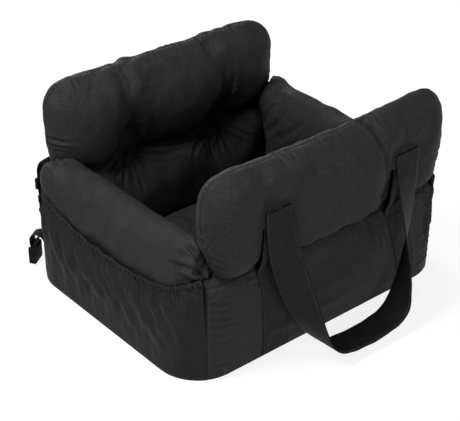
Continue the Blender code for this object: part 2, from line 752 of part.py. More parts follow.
def build_seat(cloth):
    low = foam_top() + GAP
    front = lining_face(FRONT) + SEAT_CLEARANCE
    back = lining_face(BACK) - SEAT_CLEARANCE
    middle = (front + back) / 2
    half_y = (back - front) / 2

    def spot(u, v):
        y = v * half_y
        reach = SEAT_HALF_WIDTH
        if abs(y) > half_y - SEAT_CORNER:
            over = abs(y) - (half_y - SEAT_CORNER)
            reach += math.sqrt(max(0.0, SEAT_CORNER ** 2 - over ** 2)) - SEAT_CORNER
        return u * reach, y

    def underside(u, v):
        x, y = spot(u, v)
        lift = SEAT_RIM_HEIGHT * (1 - crown(u, v, 8, 8)) ** 2
        return Vector((x, middle + y, low + lift))

    def topside(u, v):
        x, y = spot(u, v)
        rise = SEAT_RIM_HEIGHT + SEAM_WIDTH
        rise += (SEAT_THICKNESS - rise) * crown(u, v, 4, 4)
        ring = math.hypot(x / SEAT_CHANNEL_HALF_X, y / SEAT_CHANNEL_HALF_Y)
        distance = (ring - 1) * min(SEAT_CHANNEL_HALF_X, SEAT_CHANNEL_HALF_Y)
        rise -= SEAT_CHANNEL_DEPTH * hump(distance, 0.0, SEAT_CHANNEL_WIDTH)
        return Vector((x, middle + y, low + rise))

    slab("seat_cushion", topside, underside, crowded(20), crowded(16), cloth)


def outer_reach(end, x, z, *trees):
    """How far the front or back face of the sewn pieces stands out from the tub's middle."""
    reach = 0.0
    for tree in trees:
        spot = tree.ray_cast(Vector((x, end * BODY_DEPTH, z)), Vector((0.0, -end, 0.0)))[0]
        if spot is not None:
            reach = max(reach, spot.y * end)
    return reach


def face_tree(thing):
    """A search tree of an object's faces, for resting another piece on them."""
    mesh = thing.data
    return BVHTree.FromPolygons([vert.co for vert in mesh.vertices],
                                [face.vertices for face in mesh.polygons])


def build_band(end, side, name, trees, webbing):
    """A flat band sewn up the wall and into the cushion's channel, under a handle's root."""
    top = HANDLE_ROOT_HEIGHT - BAND_TOP_MARGIN
    middle = handle_x(side)

    across = BAND_WIDTH / BAND_COLUMNS
    upward = (top - BAND_FOOT) / BAND_ROWS

    def bridged(x, z):
        """The furthest face within one step each way, so that the band spans every dip."""
        return max(outer_reach(end, x + i * across / 2, z + j * upward / 2, *trees)
                   for i in (-2, -1, 0, 1, 2) for j in (-2, -1, 0, 1, 2))

    def layer(lift):
        def place(u, v):
            x = middle + u * BAND_WIDTH / 2
            z = BAND_FOOT + (top - BAND_FOOT) * v
            return Vector((x, end * (bridged(x, z) + lift), z))
        return place

    return slab(name, layer(BAND_LIFT + BAND_THICKNESS), layer(BAND_LIFT),
                spread(BAND_COLUMNS), spread(BAND_ROWS, 0.0), webbing)


def handle_route(end, root):
    """The middle line of a handle whose sewn ends lie this far out from the tub's middle."""
    drop = HANDLE_ROOT_HEIGHT - HANDLE_FLOOR_GAP - STRAP_THICKNESS / 2
    draw_in = HANDLE_HALF_SPAN - HANDLE_LOOP_HALF
    arm = [(HANDLE_HALF_SPAN - draw_in * draw, HANDLE_STAND_OFF * out, drop * down)
           for draw, out, down in zip(ARM_DRAW_SHARES, ARM_OUT_SHARES, ARM_DROP_SHARES)]
    arm.append((HANDLE_LOOP_HALF * LOOP_FLAT_SHARE, HANDLE_STAND_OFF, drop))
    left = [Vector((HANDLE_OFFSET_X - x, end * (root + out), HANDLE_ROOT_HEIGHT - down))
            for x, out, down in arm]
    right = [Vector((2 * HANDLE_OFFSET_X - point.x, point.y, point.z))
             for point in reversed(left)]
    return smooth_route(left + right, HANDLE_STEPS)


def handle_width_way(end):
    """Each arm twists so that the loop lies flat at its foot."""
    def way(share):
        inward = 0.5 - abs(share - 0.5)
        twist = smooth_step((inward - TWIST_START_SHARE) / TWIST_SPAN_SHARE) * math.pi / 2
        side = 1.0 if share < 0.5 else -1.0
        return Vector((side * math.cos(twist), end * math.sin(twist), 0.0))
    return way


def build_handle(end, name, trees, webbing):
    """A strap that hangs in a loop, moved in until it all but touches what lies behind it."""
    root = 0.0
    rings = ribbon_corners(handle_route(end, 0.0), handle_width_way(end), STRAP_WIDTH,
                           STRAP_THICKNESS)
    for ring in rings:
        for share in spread(2 * BAND_COLUMNS, 0.0):
            for first, second in ((ring[0], ring[1]), (ring[3], ring[2])):
                place = first.lerp(second, share)
                reach = outer_reach(end, place.x, place.z, *trees)
                root = max(root, reach - end * place.y)
    ribbon(name, handle_route(end, root + HANDLE_CLEARANCE), handle_width_way(end),
           STRAP_WIDTH, STRAP_THICKNESS, webbing)


def belt_frame(side, angle, root_height, out):
    """Places a buckle's own frame, with x across the belt, y outwards and z up, at a belt."""
    way = Vector((side * math.cos(angle), math.sin(angle), 0.0))
    centre = Vector((side * (BODY_WIDTH / 2 - CORNER_RADIUS),
                     BODY_DEPTH / 2 - CORNER_RADIUS, 0.0))
    across = Vector((way.y, -way.x, 0.0))
    root = centre + way * (CORNER_RADIUS + out)
    frame = Matrix.Identity(4)
    for row in range(3):
        frame[row][0] = across[row]
        frame[row][1] = way[row]
        frame[row][2] = 1.0 if row == 2 else 0.0
        frame[row][3] = root[row]
    frame[2][3] = root_height
    return frame


def belt_start(height):
    """How far a belt's middle line starts from the tub's outline, at the cover's face."""
    share = (height - COVER_FOOT) / (WAIST_HEIGHT - COVER_FOOT)
    return GAP + BELT_THICKNESS / 2 - cover_draw(share)


def loop_radius():
    """The belt's middle line clears a buckle's bar, corners and all."""
    return math.hypot(BUCKLE_BAR, CLIP_THICKNESS) / 2 + BELT_THICKNESS / 2 + GAP


def slot_low():
    """The lower edge of a buckle's slot, measured from the middle of its bar."""
    return -(loop_radius() + BELT_THICKNESS / 2 + 2 * GAP)


def belt_arch(root_height, out, rise):
    """The middle line of a belt's arch from its root on, and the number of its highest point."""
    start = belt_start(root_height)
    route = [Vector((0.0, start + out * outward, rise * up))
             for outward, up in zip(BELT_OUT_SHARES, BELT_RISE_SHARES)]
    arch = smooth_route(route, BELT_ARCH_STEPS)
    return arch, max(range(len(arch)), key=lambda index: arch[index].z)


def build_belt(side, word, angle, root_height, out, rise, drop, webbing):
    """A webbing half: a tab that rises from the seam, and the belt that hangs from its top."""
    frame = belt_frame(side, angle, root_height, 0.0)
    start = belt_start(root_height)
    turn = loop_radius()
    low = -drop
    arch, top = belt_arch(root_height, out, rise)
    rift = Vector((0.0, GAP / 2, 0.0))
    level = Vector((0.0, BELT_LEVEL, 0.0))
    across = frame.to_3x3() @ Vector((1.0, 0.0, 0.0))
    tab = [frame @ point for point in arch[:top] + [arch[top] - level, arch[top] - rift]]
    ribbon(word + "_tab", tab, lambda share: across, BELT_WIDTH, BELT_THICKNESS, webbing)
    straight = [Vector((0.0, start + out, low))]
    bend = [Vector((0.0, start + out - turn + turn * math.cos(angle),
                    low - turn * math.sin(angle)))
            for angle in (math.pi * step / 6 for step in range(1, 7))]
    tail = [Vector((0.0, start + out - 2 * turn, low + BELT_TAIL))]
    hanging = [arch[top] + rift, arch[top] + level] + arch[top + 1:] + straight + bend + tail
    path = [frame @ point for point in hanging]
    ribbon(word + "_belt", path, lambda share: across, BELT_WIDTH, BELT_THICKNESS, webbing)


def bar_centre(side, angle, root_height, out, rise, drop):
    """The frame of the buckle bar that a belt's end turns round."""
    frame = belt_frame(side, angle, root_height, 0.0)
    start = belt_start(root_height)
    return frame @ Matrix.Translation((0.0, start + out - loop_radius(), -drop))


def prism(name, outline, thickness):
    """An outline in the buckle's x and z, given its thickness about y = 0."""
    count = len(outline)
    points = [Vector((x, -thickness / 2, z)) for x, z in outline]
    points += [Vector((x, thickness / 2, z)) for x, z in outline]
    faces = [tuple(range(count)), tuple(range(count, 2 * count))]
    for index in range(count):
        after = (index + 1) % count
        faces.append((index, after, count + after, count + index))
    return mesh_from(name, points, faces)


def build_clip(name, frame, plastic):
    """The plug half of a side-release buckle: a slotted plate, two prongs and a tongue."""
    bar = BUCKLE_BAR / 2
    half = BUCKLE_WIDTH / 2
    top = bar
    neck = top - CLIP_PLATE_HEIGHT
    tip = neck - CLIP_PRONG_LENGTH
    prong = CLIP_PRONG_WIDTH
    tongue = CLIP_TONGUE_WIDTH / 2
    inner = half - prong - BUCKLE_RAIL / 2
    right = [
        (half, top), (half, neck), (half - BUCKLE_RAIL / 2, neck),
        (half - BUCKLE_RAIL / 2, neck + 0.45 * (tip - neck)),
        (half + BUCKLE_RAIL / 4, neck + 0.55 * (tip - neck)),
        (half, neck + 0.80 * (tip - neck)), (half - 0.8 * prong, tip),
        (half - 1.5 * prong, tip), (inner, neck + 0.80 * (tip - neck)),
        (inner, neck), (tongue, neck), (0.8 * tongue, 0.85 * tip),
    ]
    left = [(-x, z) for x, z in reversed(right)]
    thing = add_object(name, prism(name, right + left, CLIP_THICKNESS), plastic, smooth=False)
    opening = half - BUCKLE_RAIL
    window = (CLIP_THICKNESS + OVERRUN) / 2
    cut_boxes(thing, [((-opening, -window, slot_low()), (opening, window, -bar))], plastic)
    thing.matrix_world = frame
    return thing


def build_socket(name, frame, plastic):
    """The receiving half of a side-release buckle: a hollow body open below and at its sides."""
    bar = BUCKLE_BAR / 2
    half = BUCKLE_WIDTH / 2 + BUCKLE_RAIL / 2
    top = bar
    foot = top - SOCKET_HEIGHT
    depth = BUCKLE_DEPTH / 2
    shoulder = 0.30 * BUCKLE_DEPTH
    outline = [(half - shoulder, top), (half, top - shoulder), (half, foot + shoulder),
               (half - shoulder, foot)]
    outline += [(-x, z) for x, z in reversed(outline)]
    thing = add_object(name, prism(name, outline, BUCKLE_DEPTH), plastic, smooth=False)
    opening = half - BUCKLE_RAIL
    wall = CLIP_THICKNESS / 2 + GAP
    cavity = foot + SOCKET_CAVITY_DEPTH
    window_low = foot + (SOCKET_CAVITY_DEPTH - SOCKET_WINDOW_HEIGHT) / 2
    cutters = [
        ((-opening, -depth - OVERRUN, slot_low()), (opening, depth + OVERRUN, -bar)),
        ((-opening, CLIP_THICKNESS / 2, slot_low()), (opening, depth + OVERRUN, bar + OVERRUN)),
        ((-opening, -depth - OVERRUN, slot_low()), (opening, -CLIP_THICKNESS / 2, bar + OVERRUN)),
        ((-opening, -wall, foot - OVERRUN), (opening, wall, cavity)),
        ((-half - OVERRUN, -wall, window_low),
         (half + OVERRUN, wall, window_low + SOCKET_WINDOW_HEIGHT)),
    ]
    cut_boxes(thing, cutters, plastic)
    thing.matrix_world = frame
    return thing


def build_slider(name, frame, plastic):
    """A strap adjuster: outer bars before the belt, a middle bar behind it, and two rails."""
    half = BELT_WIDTH / 2 + 2 * GAP + BUCKLE_RAIL
    rail = BELT_WIDTH / 2 + 2 * GAP
    slot = BELT_THICKNESS / 2 + 2 * GAP
    depth = slot + BELT_THICKNESS
    height = SLIDER_HEIGHT / 2
    bar = SLIDER_BAR
    thing = box(name, (-half, -depth, -height), (half, depth, height), plastic)
    cutters = [
        ((-rail, -slot, -height - OVERRUN), (rail, slot, height + OVERRUN)),
        ((-rail, slot - GAP, bar - height), (rail, depth + OVERRUN, height - bar)),
        ((-rail, -depth - OVERRUN, -height - OVERRUN), (rail, GAP - slot, -bar / 2)),
        ((-rail, -depth - OVERRUN, bar / 2), (rail, GAP - slot, height + OVERRUN)),
    ]
    cut_boxes(thing, cutters, plastic)
    thing.matrix_world = frame
    return thing


def build_belts(webbing, plastic):
    upper = (UPPER_BELT_ANGLE, UPPER_BELT_ROOT, UPPER_BELT_OUT, UPPER_BELT_RISE,
             UPPER_BELT_DROP)
    lower = (LOWER_BELT_ANGLE, LOWER_BELT_ROOT, LOWER_BELT_OUT, LOWER_BELT_RISE,
             LOWER_BELT_DROP)
    build_belt(LEFT, "upper_left", *upper, webbing)
    build_clip("upper_belt_clip", bar_centre(LEFT, *upper), plastic)
    slider = belt_frame(LEFT, UPPER_BELT_ANGLE, UPPER_BELT_ROOT - SLIDER_DROP, 0.0)
    offset = belt_start(UPPER_BELT_ROOT) + UPPER_BELT_OUT
    build_slider("upper_belt_slider", slider @ Matrix.Translation((0.0, offset, 0.0)), plastic)
    build_belt(RIGHT, "upper_right", *upper, webbing)
    build_socket("upper_belt_socket", bar_centre(RIGHT, *upper), plastic)
    build_belt(LEFT, "lower_left", *lower, webbing)
    build_socket("lower_belt_socket", bar_centre(LEFT, *lower), plastic)
    build_belt(RIGHT, "lower_right", *lower, webbing)
    build_clip("lower_belt_clip", bar_centre(RIGHT, *lower), plastic)


def main():
    clear_scene()
    cloth = make_material("black woven polyester", (0.020, 0.020, 0.021), 0.85)
    lining = make_material("black lining cloth", (0.016, 0.016, 0.017), 0.90)
    base = make_material("coated base cloth", (0.012, 0.012, 0.013), 0.60)
    foam = make_material("white polyethylene foam", (0.70, 0.70, 0.68), 0.90)
    board = make_material("black plastic board", (0.030, 0.030, 0.032), 0.55)
    webbing = make_material("black cloth strap", (0.024, 0.024, 0.026), 0.80)
    elastic = make_material("black elastic", (0.010, 0.010, 0.010), 0.75)
    plastic = make_material("black acetal plastic", (0.012, 0.012, 0.013), 0.42)

    build_base(base, board, foam)
    inner_trees = []
    for end, word in ((FRONT, "front"), (BACK, "back")):
        cover, padding = build_end_wall(end, word, cloth, foam, lining)
        cushion = build_end_cushion(end, word, cloth)
        inner_trees += [face_tree(cushion), face_tree(padding)]
        trees = [face_tree(cover), face_tree(cushion)]
        bands = [build_band(end, side, f"{word}_{side_word}_band", trees, webbing)
                 for side, side_word in ((LEFT, "left"), (RIGHT, "right"))]
        trees += [face_tree(band) for band in bands]
        build_handle(end, word + "_handle", trees, webbing)
    for side, word in ((LEFT, "left"), (RIGHT, "right")):
        build_side_wall(side, word, cloth, foam, elastic)
        build_roll(side, word, inner_trees, cloth)
    build_seat(cloth)
    build_belts(webbing, plastic)


main()
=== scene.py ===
# Dog car seat: the looks of its cloth, padding, straps and buckles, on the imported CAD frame.
# Metres, +Z up. The front faces -Y, and the origin is on the floor under the tub's centre.
import json
import math
import random

import bmesh
import bpy
import numpy as np
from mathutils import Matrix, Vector, noise
from mathutils.bvhtree import BVHTree

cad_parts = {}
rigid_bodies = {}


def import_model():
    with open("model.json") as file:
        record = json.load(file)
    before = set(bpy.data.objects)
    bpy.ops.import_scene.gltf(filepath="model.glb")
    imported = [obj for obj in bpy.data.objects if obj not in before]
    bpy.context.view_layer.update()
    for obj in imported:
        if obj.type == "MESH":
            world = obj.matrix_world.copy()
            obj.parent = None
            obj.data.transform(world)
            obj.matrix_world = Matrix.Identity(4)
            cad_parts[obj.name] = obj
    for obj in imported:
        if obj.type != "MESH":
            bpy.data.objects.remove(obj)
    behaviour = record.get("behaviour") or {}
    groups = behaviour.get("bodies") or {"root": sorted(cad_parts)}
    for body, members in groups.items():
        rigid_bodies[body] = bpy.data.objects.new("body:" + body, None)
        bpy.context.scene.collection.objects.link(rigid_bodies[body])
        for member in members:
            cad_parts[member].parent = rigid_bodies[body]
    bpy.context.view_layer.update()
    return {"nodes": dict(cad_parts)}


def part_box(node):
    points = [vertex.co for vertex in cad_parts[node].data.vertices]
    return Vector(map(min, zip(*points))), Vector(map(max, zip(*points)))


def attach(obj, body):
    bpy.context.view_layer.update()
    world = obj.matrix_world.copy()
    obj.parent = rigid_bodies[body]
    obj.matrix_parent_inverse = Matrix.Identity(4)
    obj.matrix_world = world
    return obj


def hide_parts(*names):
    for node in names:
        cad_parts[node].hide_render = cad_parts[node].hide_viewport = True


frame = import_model()

bl_info = {
    "name": "Dog car seat",
    "version": (1, 0, 0),
    "blender": (4, 5, 0),
    "location": "3D View > Sidebar > Car seat",
    "description": "Dresses the frame of a padded dog car seat in cloth, straps and buckles",
    "category": "Object",
}

# The tub's outline, which the sewn sheets follow
HALF_WIDTH = -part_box("left_pocket")[0].x
HALF_DEPTH = -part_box("front_cover")[0].y
CORNER = 0.080
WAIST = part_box("front_cover")[1].z
# How far the sewn sheets reach from a wall's middle, round the corner to the corner seam
END_REACH = HALF_WIDTH - CORNER + CORNER * math.radians(30)
SIDE_REACH = HALF_DEPTH - CORNER + CORNER * math.radians(60)

# Millimetres are easier to read in the tables of folds
MM = 0.001

FRONT, BACK, LEFT, RIGHT = -1, 1, -1, 1
END_WORD = {FRONT: "front", BACK: "back"}
SIDE_WORD = {LEFT: "left", RIGHT: "right"}

MERGE_DISTANCE = 0.00001
SEAM_REACH = 0.012                    # how far from a seam its distance is kept
LOOK_FROM, LOOK_REACH = 0.040, 0.090  # rays that find a CAD wall start outside the outline
FILLING_FRAMES = 20
RIM_STEPS = 150
PUCKER_SLANT = 0.35
STRAP_STEP = 0.0025
BAND_THICKNESS = 0.0012
BAND_START = 0.060                    # rays that find a band start this far outside the wall


# ---------------------------------------------------------------- sizes and colours

class CarSeatCloth(bpy.types.PropertyGroup):
    """The cloth's colours and weave."""
    shell: bpy.props.StringProperty(
        name="Shell cloth", description="sRGB hex colour of the woven polyester",
        default="2A2A2B")
    # the pocket's tone is darker than the shell's: painted shade, as the pocket's side faces away
    # from the light
    pocket: bpy.props.StringProperty(
        name="Pocket cloth", description="sRGB hex colour of the gathered polyester",
        default="232324")
    lining: bpy.props.StringProperty(
        name="Lining cloth", description="sRGB hex colour of the inner faces", default="262627")
    strap: bpy.props.StringProperty(
        name="Strap cloth", description="sRGB hex colour of the folded straps", default="1E1E1F")
    thread: bpy.props.StringProperty(
        name="Thread", description="sRGB hex colour of the stitches", default="3A3A3C")
    weave: bpy.props.FloatProperty(
        name="Weave pitch", description="Distance between two threads of the weave, drawn coarse",
        default=0.0011, min=0.0003, max=0.005, unit="LENGTH")
    stitch: bpy.props.FloatProperty(
        name="Stitch length", description="From one stitch to the next", default=0.0042,
        min=0.001, max=0.010, unit="LENGTH")


class CarSeatPadding(bpy.types.PropertyGroup):
    """How the padded pieces are filled and how finely they are modelled."""
    voxel: bpy.props.FloatProperty(
        name="Remesh size", description="Edge length before the last subdivision",
        default=0.0044, min=0.003, max=0.010, unit="LENGTH")
    pressure: bpy.props.FloatProperty(
        name="Filling pressure", description="Pressure of the filling in the cloth simulation",
        default=4.0, min=0.0, max=20.0)
    spare: bpy.props.FloatProperty(
        name="Spare cloth", description="How much longer the cloth is than what it covers",
        default=0.04, min=0.0, max=0.2, subtype="FACTOR")
    reach: bpy.props.FloatProperty(
        name="Furthest move", description="How far the simulation may move a point",
        default=0.006, min=0.0, max=0.03, unit="LENGTH")


class CarSeatStraps(bpy.types.PropertyGroup):
    """The handles, bands and belts."""
    seam_inset: bpy.props.FloatProperty(
        name="Stitch inset", description="From a strap's edge to its line of stitches",
        default=0.0035, min=0.001, max=0.01, unit="LENGTH")
    rib: bpy.props.FloatProperty(
        name="Webbing rib", description="Width of one rib of the belts' webbing",
        default=0.0016, min=0.0005, max=0.004, unit="LENGTH")


# ---------------------------------------------------------------- mesh helpers

def alone(thing):
    """Makes one object the only one selected, and active."""
    for other in bpy.context.view_layer.objects:
        other.select_set(False)
    thing.select_set(True)
    bpy.context.view_layer.objects.active = thing


def place_in_scene(name, mesh):
    thing = bpy.data.objects.new(name, mesh)
    bpy.context.scene.collection.objects.link(thing)
    return thing


def values_of(items, name, width=1, kind=float):
    """One property of every item in a mesh's list, as rows where it has more than one value."""
    values = np.empty(len(items) * width, kind)
    items.foreach_get(name, values)
    return values.reshape(-1, width) if width > 1 else values


def coordinates(thing):
    return values_of(thing.data.vertices, "co", 3)


def move_to(thing, points):
    thing.data.vertices.foreach_set("co", np.ascontiguousarray(points).ravel())
    thing.data.update()


def outwards(thing):
    """The mesh's vertex normals."""
    return values_of(thing.data.vertex_normals, "vector", 3)


def reshape(mesh, change):
    """Lets a function change a mesh through a bmesh."""
    shape = bmesh.new()
    shape.from_mesh(mesh)
    change(shape)
    shape.to_mesh(mesh)
    shape.free()


def merge_corners(shape):
    """Joins the corners that the CAD's faces hold apart."""
    bmesh.ops.remove_doubles(shape, verts=shape.verts, dist=MERGE_DISTANCE)


def modify(thing, kind, **settings):
    """Adds a modifier, sets it and applies it."""
    change = thing.modifiers.new(kind.lower(), kind)
    for name, value in settings.items():
        setattr(change, name, value)
    alone(thing)
    bpy.ops.object.modifier_apply(modifier=change.name)


def cad_copy(node, name):
    """A merged copy of a CAD node's mesh, to be refined."""
    thing = place_in_scene(name, frame["nodes"][node].data.copy())
    thing.data.materials.clear()
    reshape(thing.data, merge_corners)
    return thing


def tree_of(*things):
    """One search tree over the given objects."""
    corners, faces = [], []
    for thing in things:
        start = len(corners)
        corners += [vert.co.copy() for vert in thing.data.vertices]
        faces += [[start + index for index in face.vertices] for face in thing.data.polygons]
    return BVHTree.FromPolygons(corners, faces)


def grid_mesh(name, rows):
    """A sheet from rows of points of the same length."""
    mesh = bpy.data.meshes.new(name)
    count = len(rows[0])
    corners = [tuple(point) for row in rows for point in row]
    faces = [(r * count + c, r * count + c + 1, (r + 1) * count + c + 1, (r + 1) * count + c)
             for r in range(len(rows) - 1) for c in range(count - 1)]
    mesh.from_pydata(corners, [], faces)
    mesh.update()
    return place_in_scene(name, mesh)


def tube_mesh(name, rings):
    """A closed tube, with its ends closed too, from rings of points of the same length."""
    mesh = bpy.data.meshes.new(name)
    count = len(rings[0])
    corners = [tuple(point) for ring in rings for point in ring]
    faces = []
    for r in range(len(rings) - 1):
        for c in range(count):
            after = (c + 1) % count
            faces.append((r * count + c, r * count + after, (r + 1) * count + after,
                          (r + 1) * count + c))
    faces.append(tuple(reversed(range(count))))
    faces.append(tuple(range((len(rings) - 1) * count, len(rings) * count)))
    mesh.from_pydata(corners, [], faces)
    reshape(mesh, lambda shape: bmesh.ops.recalc_face_normals(shape, faces=shape.faces))
    return place_in_scene(name, mesh)


def smooth_shading(thing, angle=None):
    alone(thing)
    if angle is None:
        bpy.ops.object.shade_smooth()
    else:
        bpy.ops.object.shade_smooth_by_angle(angle=angle)


def rounded(value):
    """0 to 1 with a soft start and end."""
    value = np.clip(value, 0, 1)
    return value * value * (3 - 2 * value)


def soften(values, rounds):
    """Smooths values along their first axis, in place, with the ends kept."""
    for _ in range(rounds):
        values[1:-1] = (values[:-2] + 2 * values[1:-1] + values[2:]) / 4


def closest(points, spot):
    """Which of the points lies nearest to a place."""
    return np.linalg.norm(points - spot, axis=1).argmin()


def wander(points, size, seed):
    """Smooth noise, about -1 to 1, at each point, with features of the given size."""
    return np.array([noise.noise(Vector(point) / size + Vector((seed, seed * 1.7, 0.0)))
                     for point in points])


def along_path(points, path):
    """How far each point is from a path, where along it (m), the share of it, and the
    nearest place and direction."""
    path = np.asarray(path, float)
    starts, ends = path[:-1], path[1:]
    runs = ends - starts
    lengths = np.maximum(np.linalg.norm(runs, axis=1), 1e-9)
    before = np.concatenate([[0.0], np.cumsum(lengths)[:-1]])
    best = np.full(len(points), 1e9)
    way = np.zeros(len(points))
    nearest = np.zeros((len(points), 3))
    heading = np.zeros((len(points), 3))
    for start, run, length, passed in zip(starts, runs, lengths, before):
        share = np.clip((points - start) @ run / length ** 2, 0, 1)
        spot = start + share[:, None] * run
        distance = np.linalg.norm(points - spot, axis=1)
        closer = distance < best
        best[closer] = distance[closer]
        way[closer] = passed + share[closer] * length
        nearest[closer] = spot[closer]
        heading[closer] = run / length
    return best, way, way / lengths.sum(), nearest, heading


def fold(points, path, depth, width, ridge, fade, offset):
    """Adds to the offsets how far a crease along a path moves each point outwards: a valley of
    the given depth and half width with a soft ridge on each side, dying out at its ends. A
    negative depth makes a raised fold."""
    path = np.asarray(path, float)
    low = path.min(0) - 4 * width
    high = path.max(0) + 4 * width
    near = np.all((points > low) & (points < high), axis=1)
    if not near.any():
        return
    distance, _, share, _, _ = along_path(points[near], path)
    strength = (rounded(share / max(fade[0], 1e-6)) if fade[0] else 1.0)
    strength = strength * (rounded((1 - share) / max(fade[1], 1e-6)) if fade[1] else 1.0)
    valley = np.exp(-(distance / width) ** 2)
    bank = np.exp(-((distance - 2.0 * width) / (0.8 * width)) ** 2)
    offset[near] -= depth * strength * (valley - ridge * bank)


def mark_seam(thing, path):
    """Keeps each vertex's side and place along a seam, which the cloth's material draws as a
    painted shade line with stitches beside it.
    The side distance is kept 1 m up, so that a piece without seams reads as far away."""
    points, ways = coordinates(thing), outwards(thing)
    distance, way, _, nearest, heading = along_path(points, path)
    side = np.sign(np.einsum("ij,ij->i", points - nearest, np.cross(heading, ways)))
    side[side == 0] = 1
    value = 1.0 + side * np.minimum(distance, SEAM_REACH)
    closer = np.ones(len(points), bool)
    for name, numbers in (("seam_side", value), ("seam_way", way)):
        layer = thing.data.attributes.get(name)
        if layer is None:
            layer = thing.data.attributes.new(name, "FLOAT", "POINT")
        else:
            kept = values_of(layer.data, "value", kind=np.float32)
            if name == "seam_side":
                closer = np.abs(value - 1) < np.abs(kept - 1)
            numbers = np.where(closer, numbers, kept)
        layer.data.foreach_set("value", numbers.astype(np.float32))


def groove(thing, path, depth, width):
    """Presses a seam's groove into the mesh."""
    points, ways = coordinates(thing), outwards(thing)
    distance = along_path(points, path)[0]
    move_to(thing, points - ways * (depth * np.exp(-(distance / width) ** 2))[:, None])


def weave_map(thing):
    """A UV map in metres, by the axis that each face looks along, for the weave."""
    mesh = thing.data
    layer = mesh.uv_layers.new(name="weave")
    points = coordinates(thing)
    normal = values_of(mesh.polygon_normals, "vector", 3)
    sizes = values_of(mesh.polygons, "loop_total", kind=int)
    axis = np.repeat(np.abs(normal).argmax(1), sizes)
    spots = points[values_of(mesh.loops, "vertex_index", kind=int)]
    first = np.where(axis == 0, spots[:, 1], spots[:, 0])
    second = np.where(axis == 2, spots[:, 1], spots[:, 2])
    layer.data.foreach_set("uv", np.stack([first, second], 1).astype(np.float32).ravel())


def edge_map(thing, spots):
    """A strap's UV map, in metres along it and from its nearer edge, one pair per corner."""
    layer = thing.data.uv_layers.new(name="strap")
    corners = values_of(thing.data.loops, "vertex_index", kind=int)
    layer.data.foreach_set("uv", np.array(spots)[corners].astype(np.float32).ravel())


def finish_piece(thing, material, body, slot, *nodes):
    """Gives a finished piece its material and its body, and hides the CAD nodes that it stands
    for.
    """
    thing.data.materials.clear()
    thing.data.materials.append(material)
    if not thing.data.uv_layers:
        weave_map(thing)
    if nodes:
        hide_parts(*nodes)
    if body:
        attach(thing, body)


# ---------------------------------------------------------------- padding

def inflate(thing, held, pressure, spare, reach):
    """Fills a closed cover with cloth simulation. Held vertices (0 to 1) stay where they are,
    and no point moves further than reach."""
    before = coordinates(thing)
    group = thing.vertex_groups.new(name="held")
    for index, weight in enumerate(held):
        if weight > 0.02:
            group.add([index], float(weight), "REPLACE")
    cloth = thing.modifiers.new("filling", "CLOTH")
    cloth.settings.quality = 4
    cloth.settings.mass = 0.25
    cloth.settings.tension_stiffness = 18
    cloth.settings.compression_stiffness = 18
    cloth.settings.shear_stiffness = 8
    cloth.settings.bending_stiffness = 0.08
    cloth.settings.vertex_group_mass = group.name
    cloth.settings.shrink_min = -spare
    cloth.settings.use_pressure = True
    cloth.settings.uniform_pressure_force = pressure
    cloth.settings.effector_weights.gravity = 0
    cloth.collision_settings.use_collision = False
    cloth.point_cache.frame_start = 1
    cloth.point_cache.frame_end = FILLING_FRAMES
    scene = bpy.context.scene
    for step in range(1, FILLING_FRAMES + 1):
        scene.frame_set(step)
    shown = thing.evaluated_get(bpy.context.evaluated_depsgraph_get())
    moved = coordinates(shown) - before
    length = np.maximum(np.linalg.norm(moved, axis=1), 1e-9)
    moved *= (reach * np.tanh(length / reach) / length)[:, None]
    thing.modifiers.remove(cloth)
    thing.vertex_groups.clear()
    scene.frame_set(1)
    move_to(thing, before + moved)
    # the remeshed grid buckles in squares, which real cloth doesn't
    modify(thing, "SMOOTH", factor=0.5, iterations=10)


def padding_base(node, name):
    """A CAD cushion remeshed evenly, with its coarse faces smoothed away."""
    thing = cad_copy(node, name)
    size = bpy.context.scene.car_seat_padding.voxel
    modify(thing, "REMESH", mode="VOXEL", voxel_size=size)
    modify(thing, "SMOOTH", factor=0.5, iterations=6)
    return thing


def rim_of(thing, across):
    """The widest line round a cushion, seen along an axis (0 to 2), as a closed path."""
    points = coordinates(thing)
    first, second = [axis for axis in range(3) if axis != across]
    middle = (points.min(0) + points.max(0)) / 2
    away = points - middle
    half = (points.max(0) - points.min(0)) / 2
    turn = np.arctan2(away[:, second] / half[second], away[:, first] / half[first])
    reach = np.hypot(away[:, first], away[:, second])
    path = []
    for step in range(RIM_STEPS):
        target = -math.pi + 2 * math.pi * step / RIM_STEPS
        gap = np.abs((turn - target + math.pi) % (2 * math.pi) - math.pi)
        chosen = np.flatnonzero(gap < 1.5 * math.pi / RIM_STEPS)
        if len(chosen):
            path.append(points[chosen[reach[chosen].argmax()]])
    path = np.array(path)
    for _ in range(3):
        path = (np.roll(path, 1, 0) + 2 * path + np.roll(path, -1, 0)) / 4
    return np.vstack([path, path[:1]])


def puckers(points, ways, path, seed, spacing, length, depth, width, offset):
    """Adds short creases to the offsets, away from a seam on both sides, as where stitches
    draw cloth in."""
    chance = random.Random(seed)
    path = np.asarray(path, float)
    runs = np.linalg.norm(np.diff(path, axis=0), axis=1)
    total = runs.sum()
    passed = np.concatenate([[0.0], np.cumsum(runs)])
    place = spacing * chance.random()
    while place < total:
        index = max(min(int(np.searchsorted(passed, place)) - 1, len(path) - 2), 0)
        share = (place - passed[index]) / max(runs[index], 1e-9)
        root = path[index] + share * (path[index + 1] - path[index])
        heading = (path[index + 1] - path[index]) / max(runs[index], 1e-9)
        side = np.cross(heading, ways[closest(points, root)])
        side /= max(np.linalg.norm(side), 1e-9)
        sign = chance.choice((-1, 1))
        slant = PUCKER_SLANT * chance.uniform(-1, 1)
        reach = length * chance.uniform(0.5, 1.3)
        tip = root + (side * sign + heading * slant) * reach
        tip = points[closest(points, tip)]
        middle = points[closest(points, (root + tip) / 2)]
        fold(points, [root, middle, tip], depth * chance.uniform(0.5, 1.2), width, 0.5,
             (0.0, 0.8), offset)
        place += spacing * chance.uniform(0.5, 1.5)


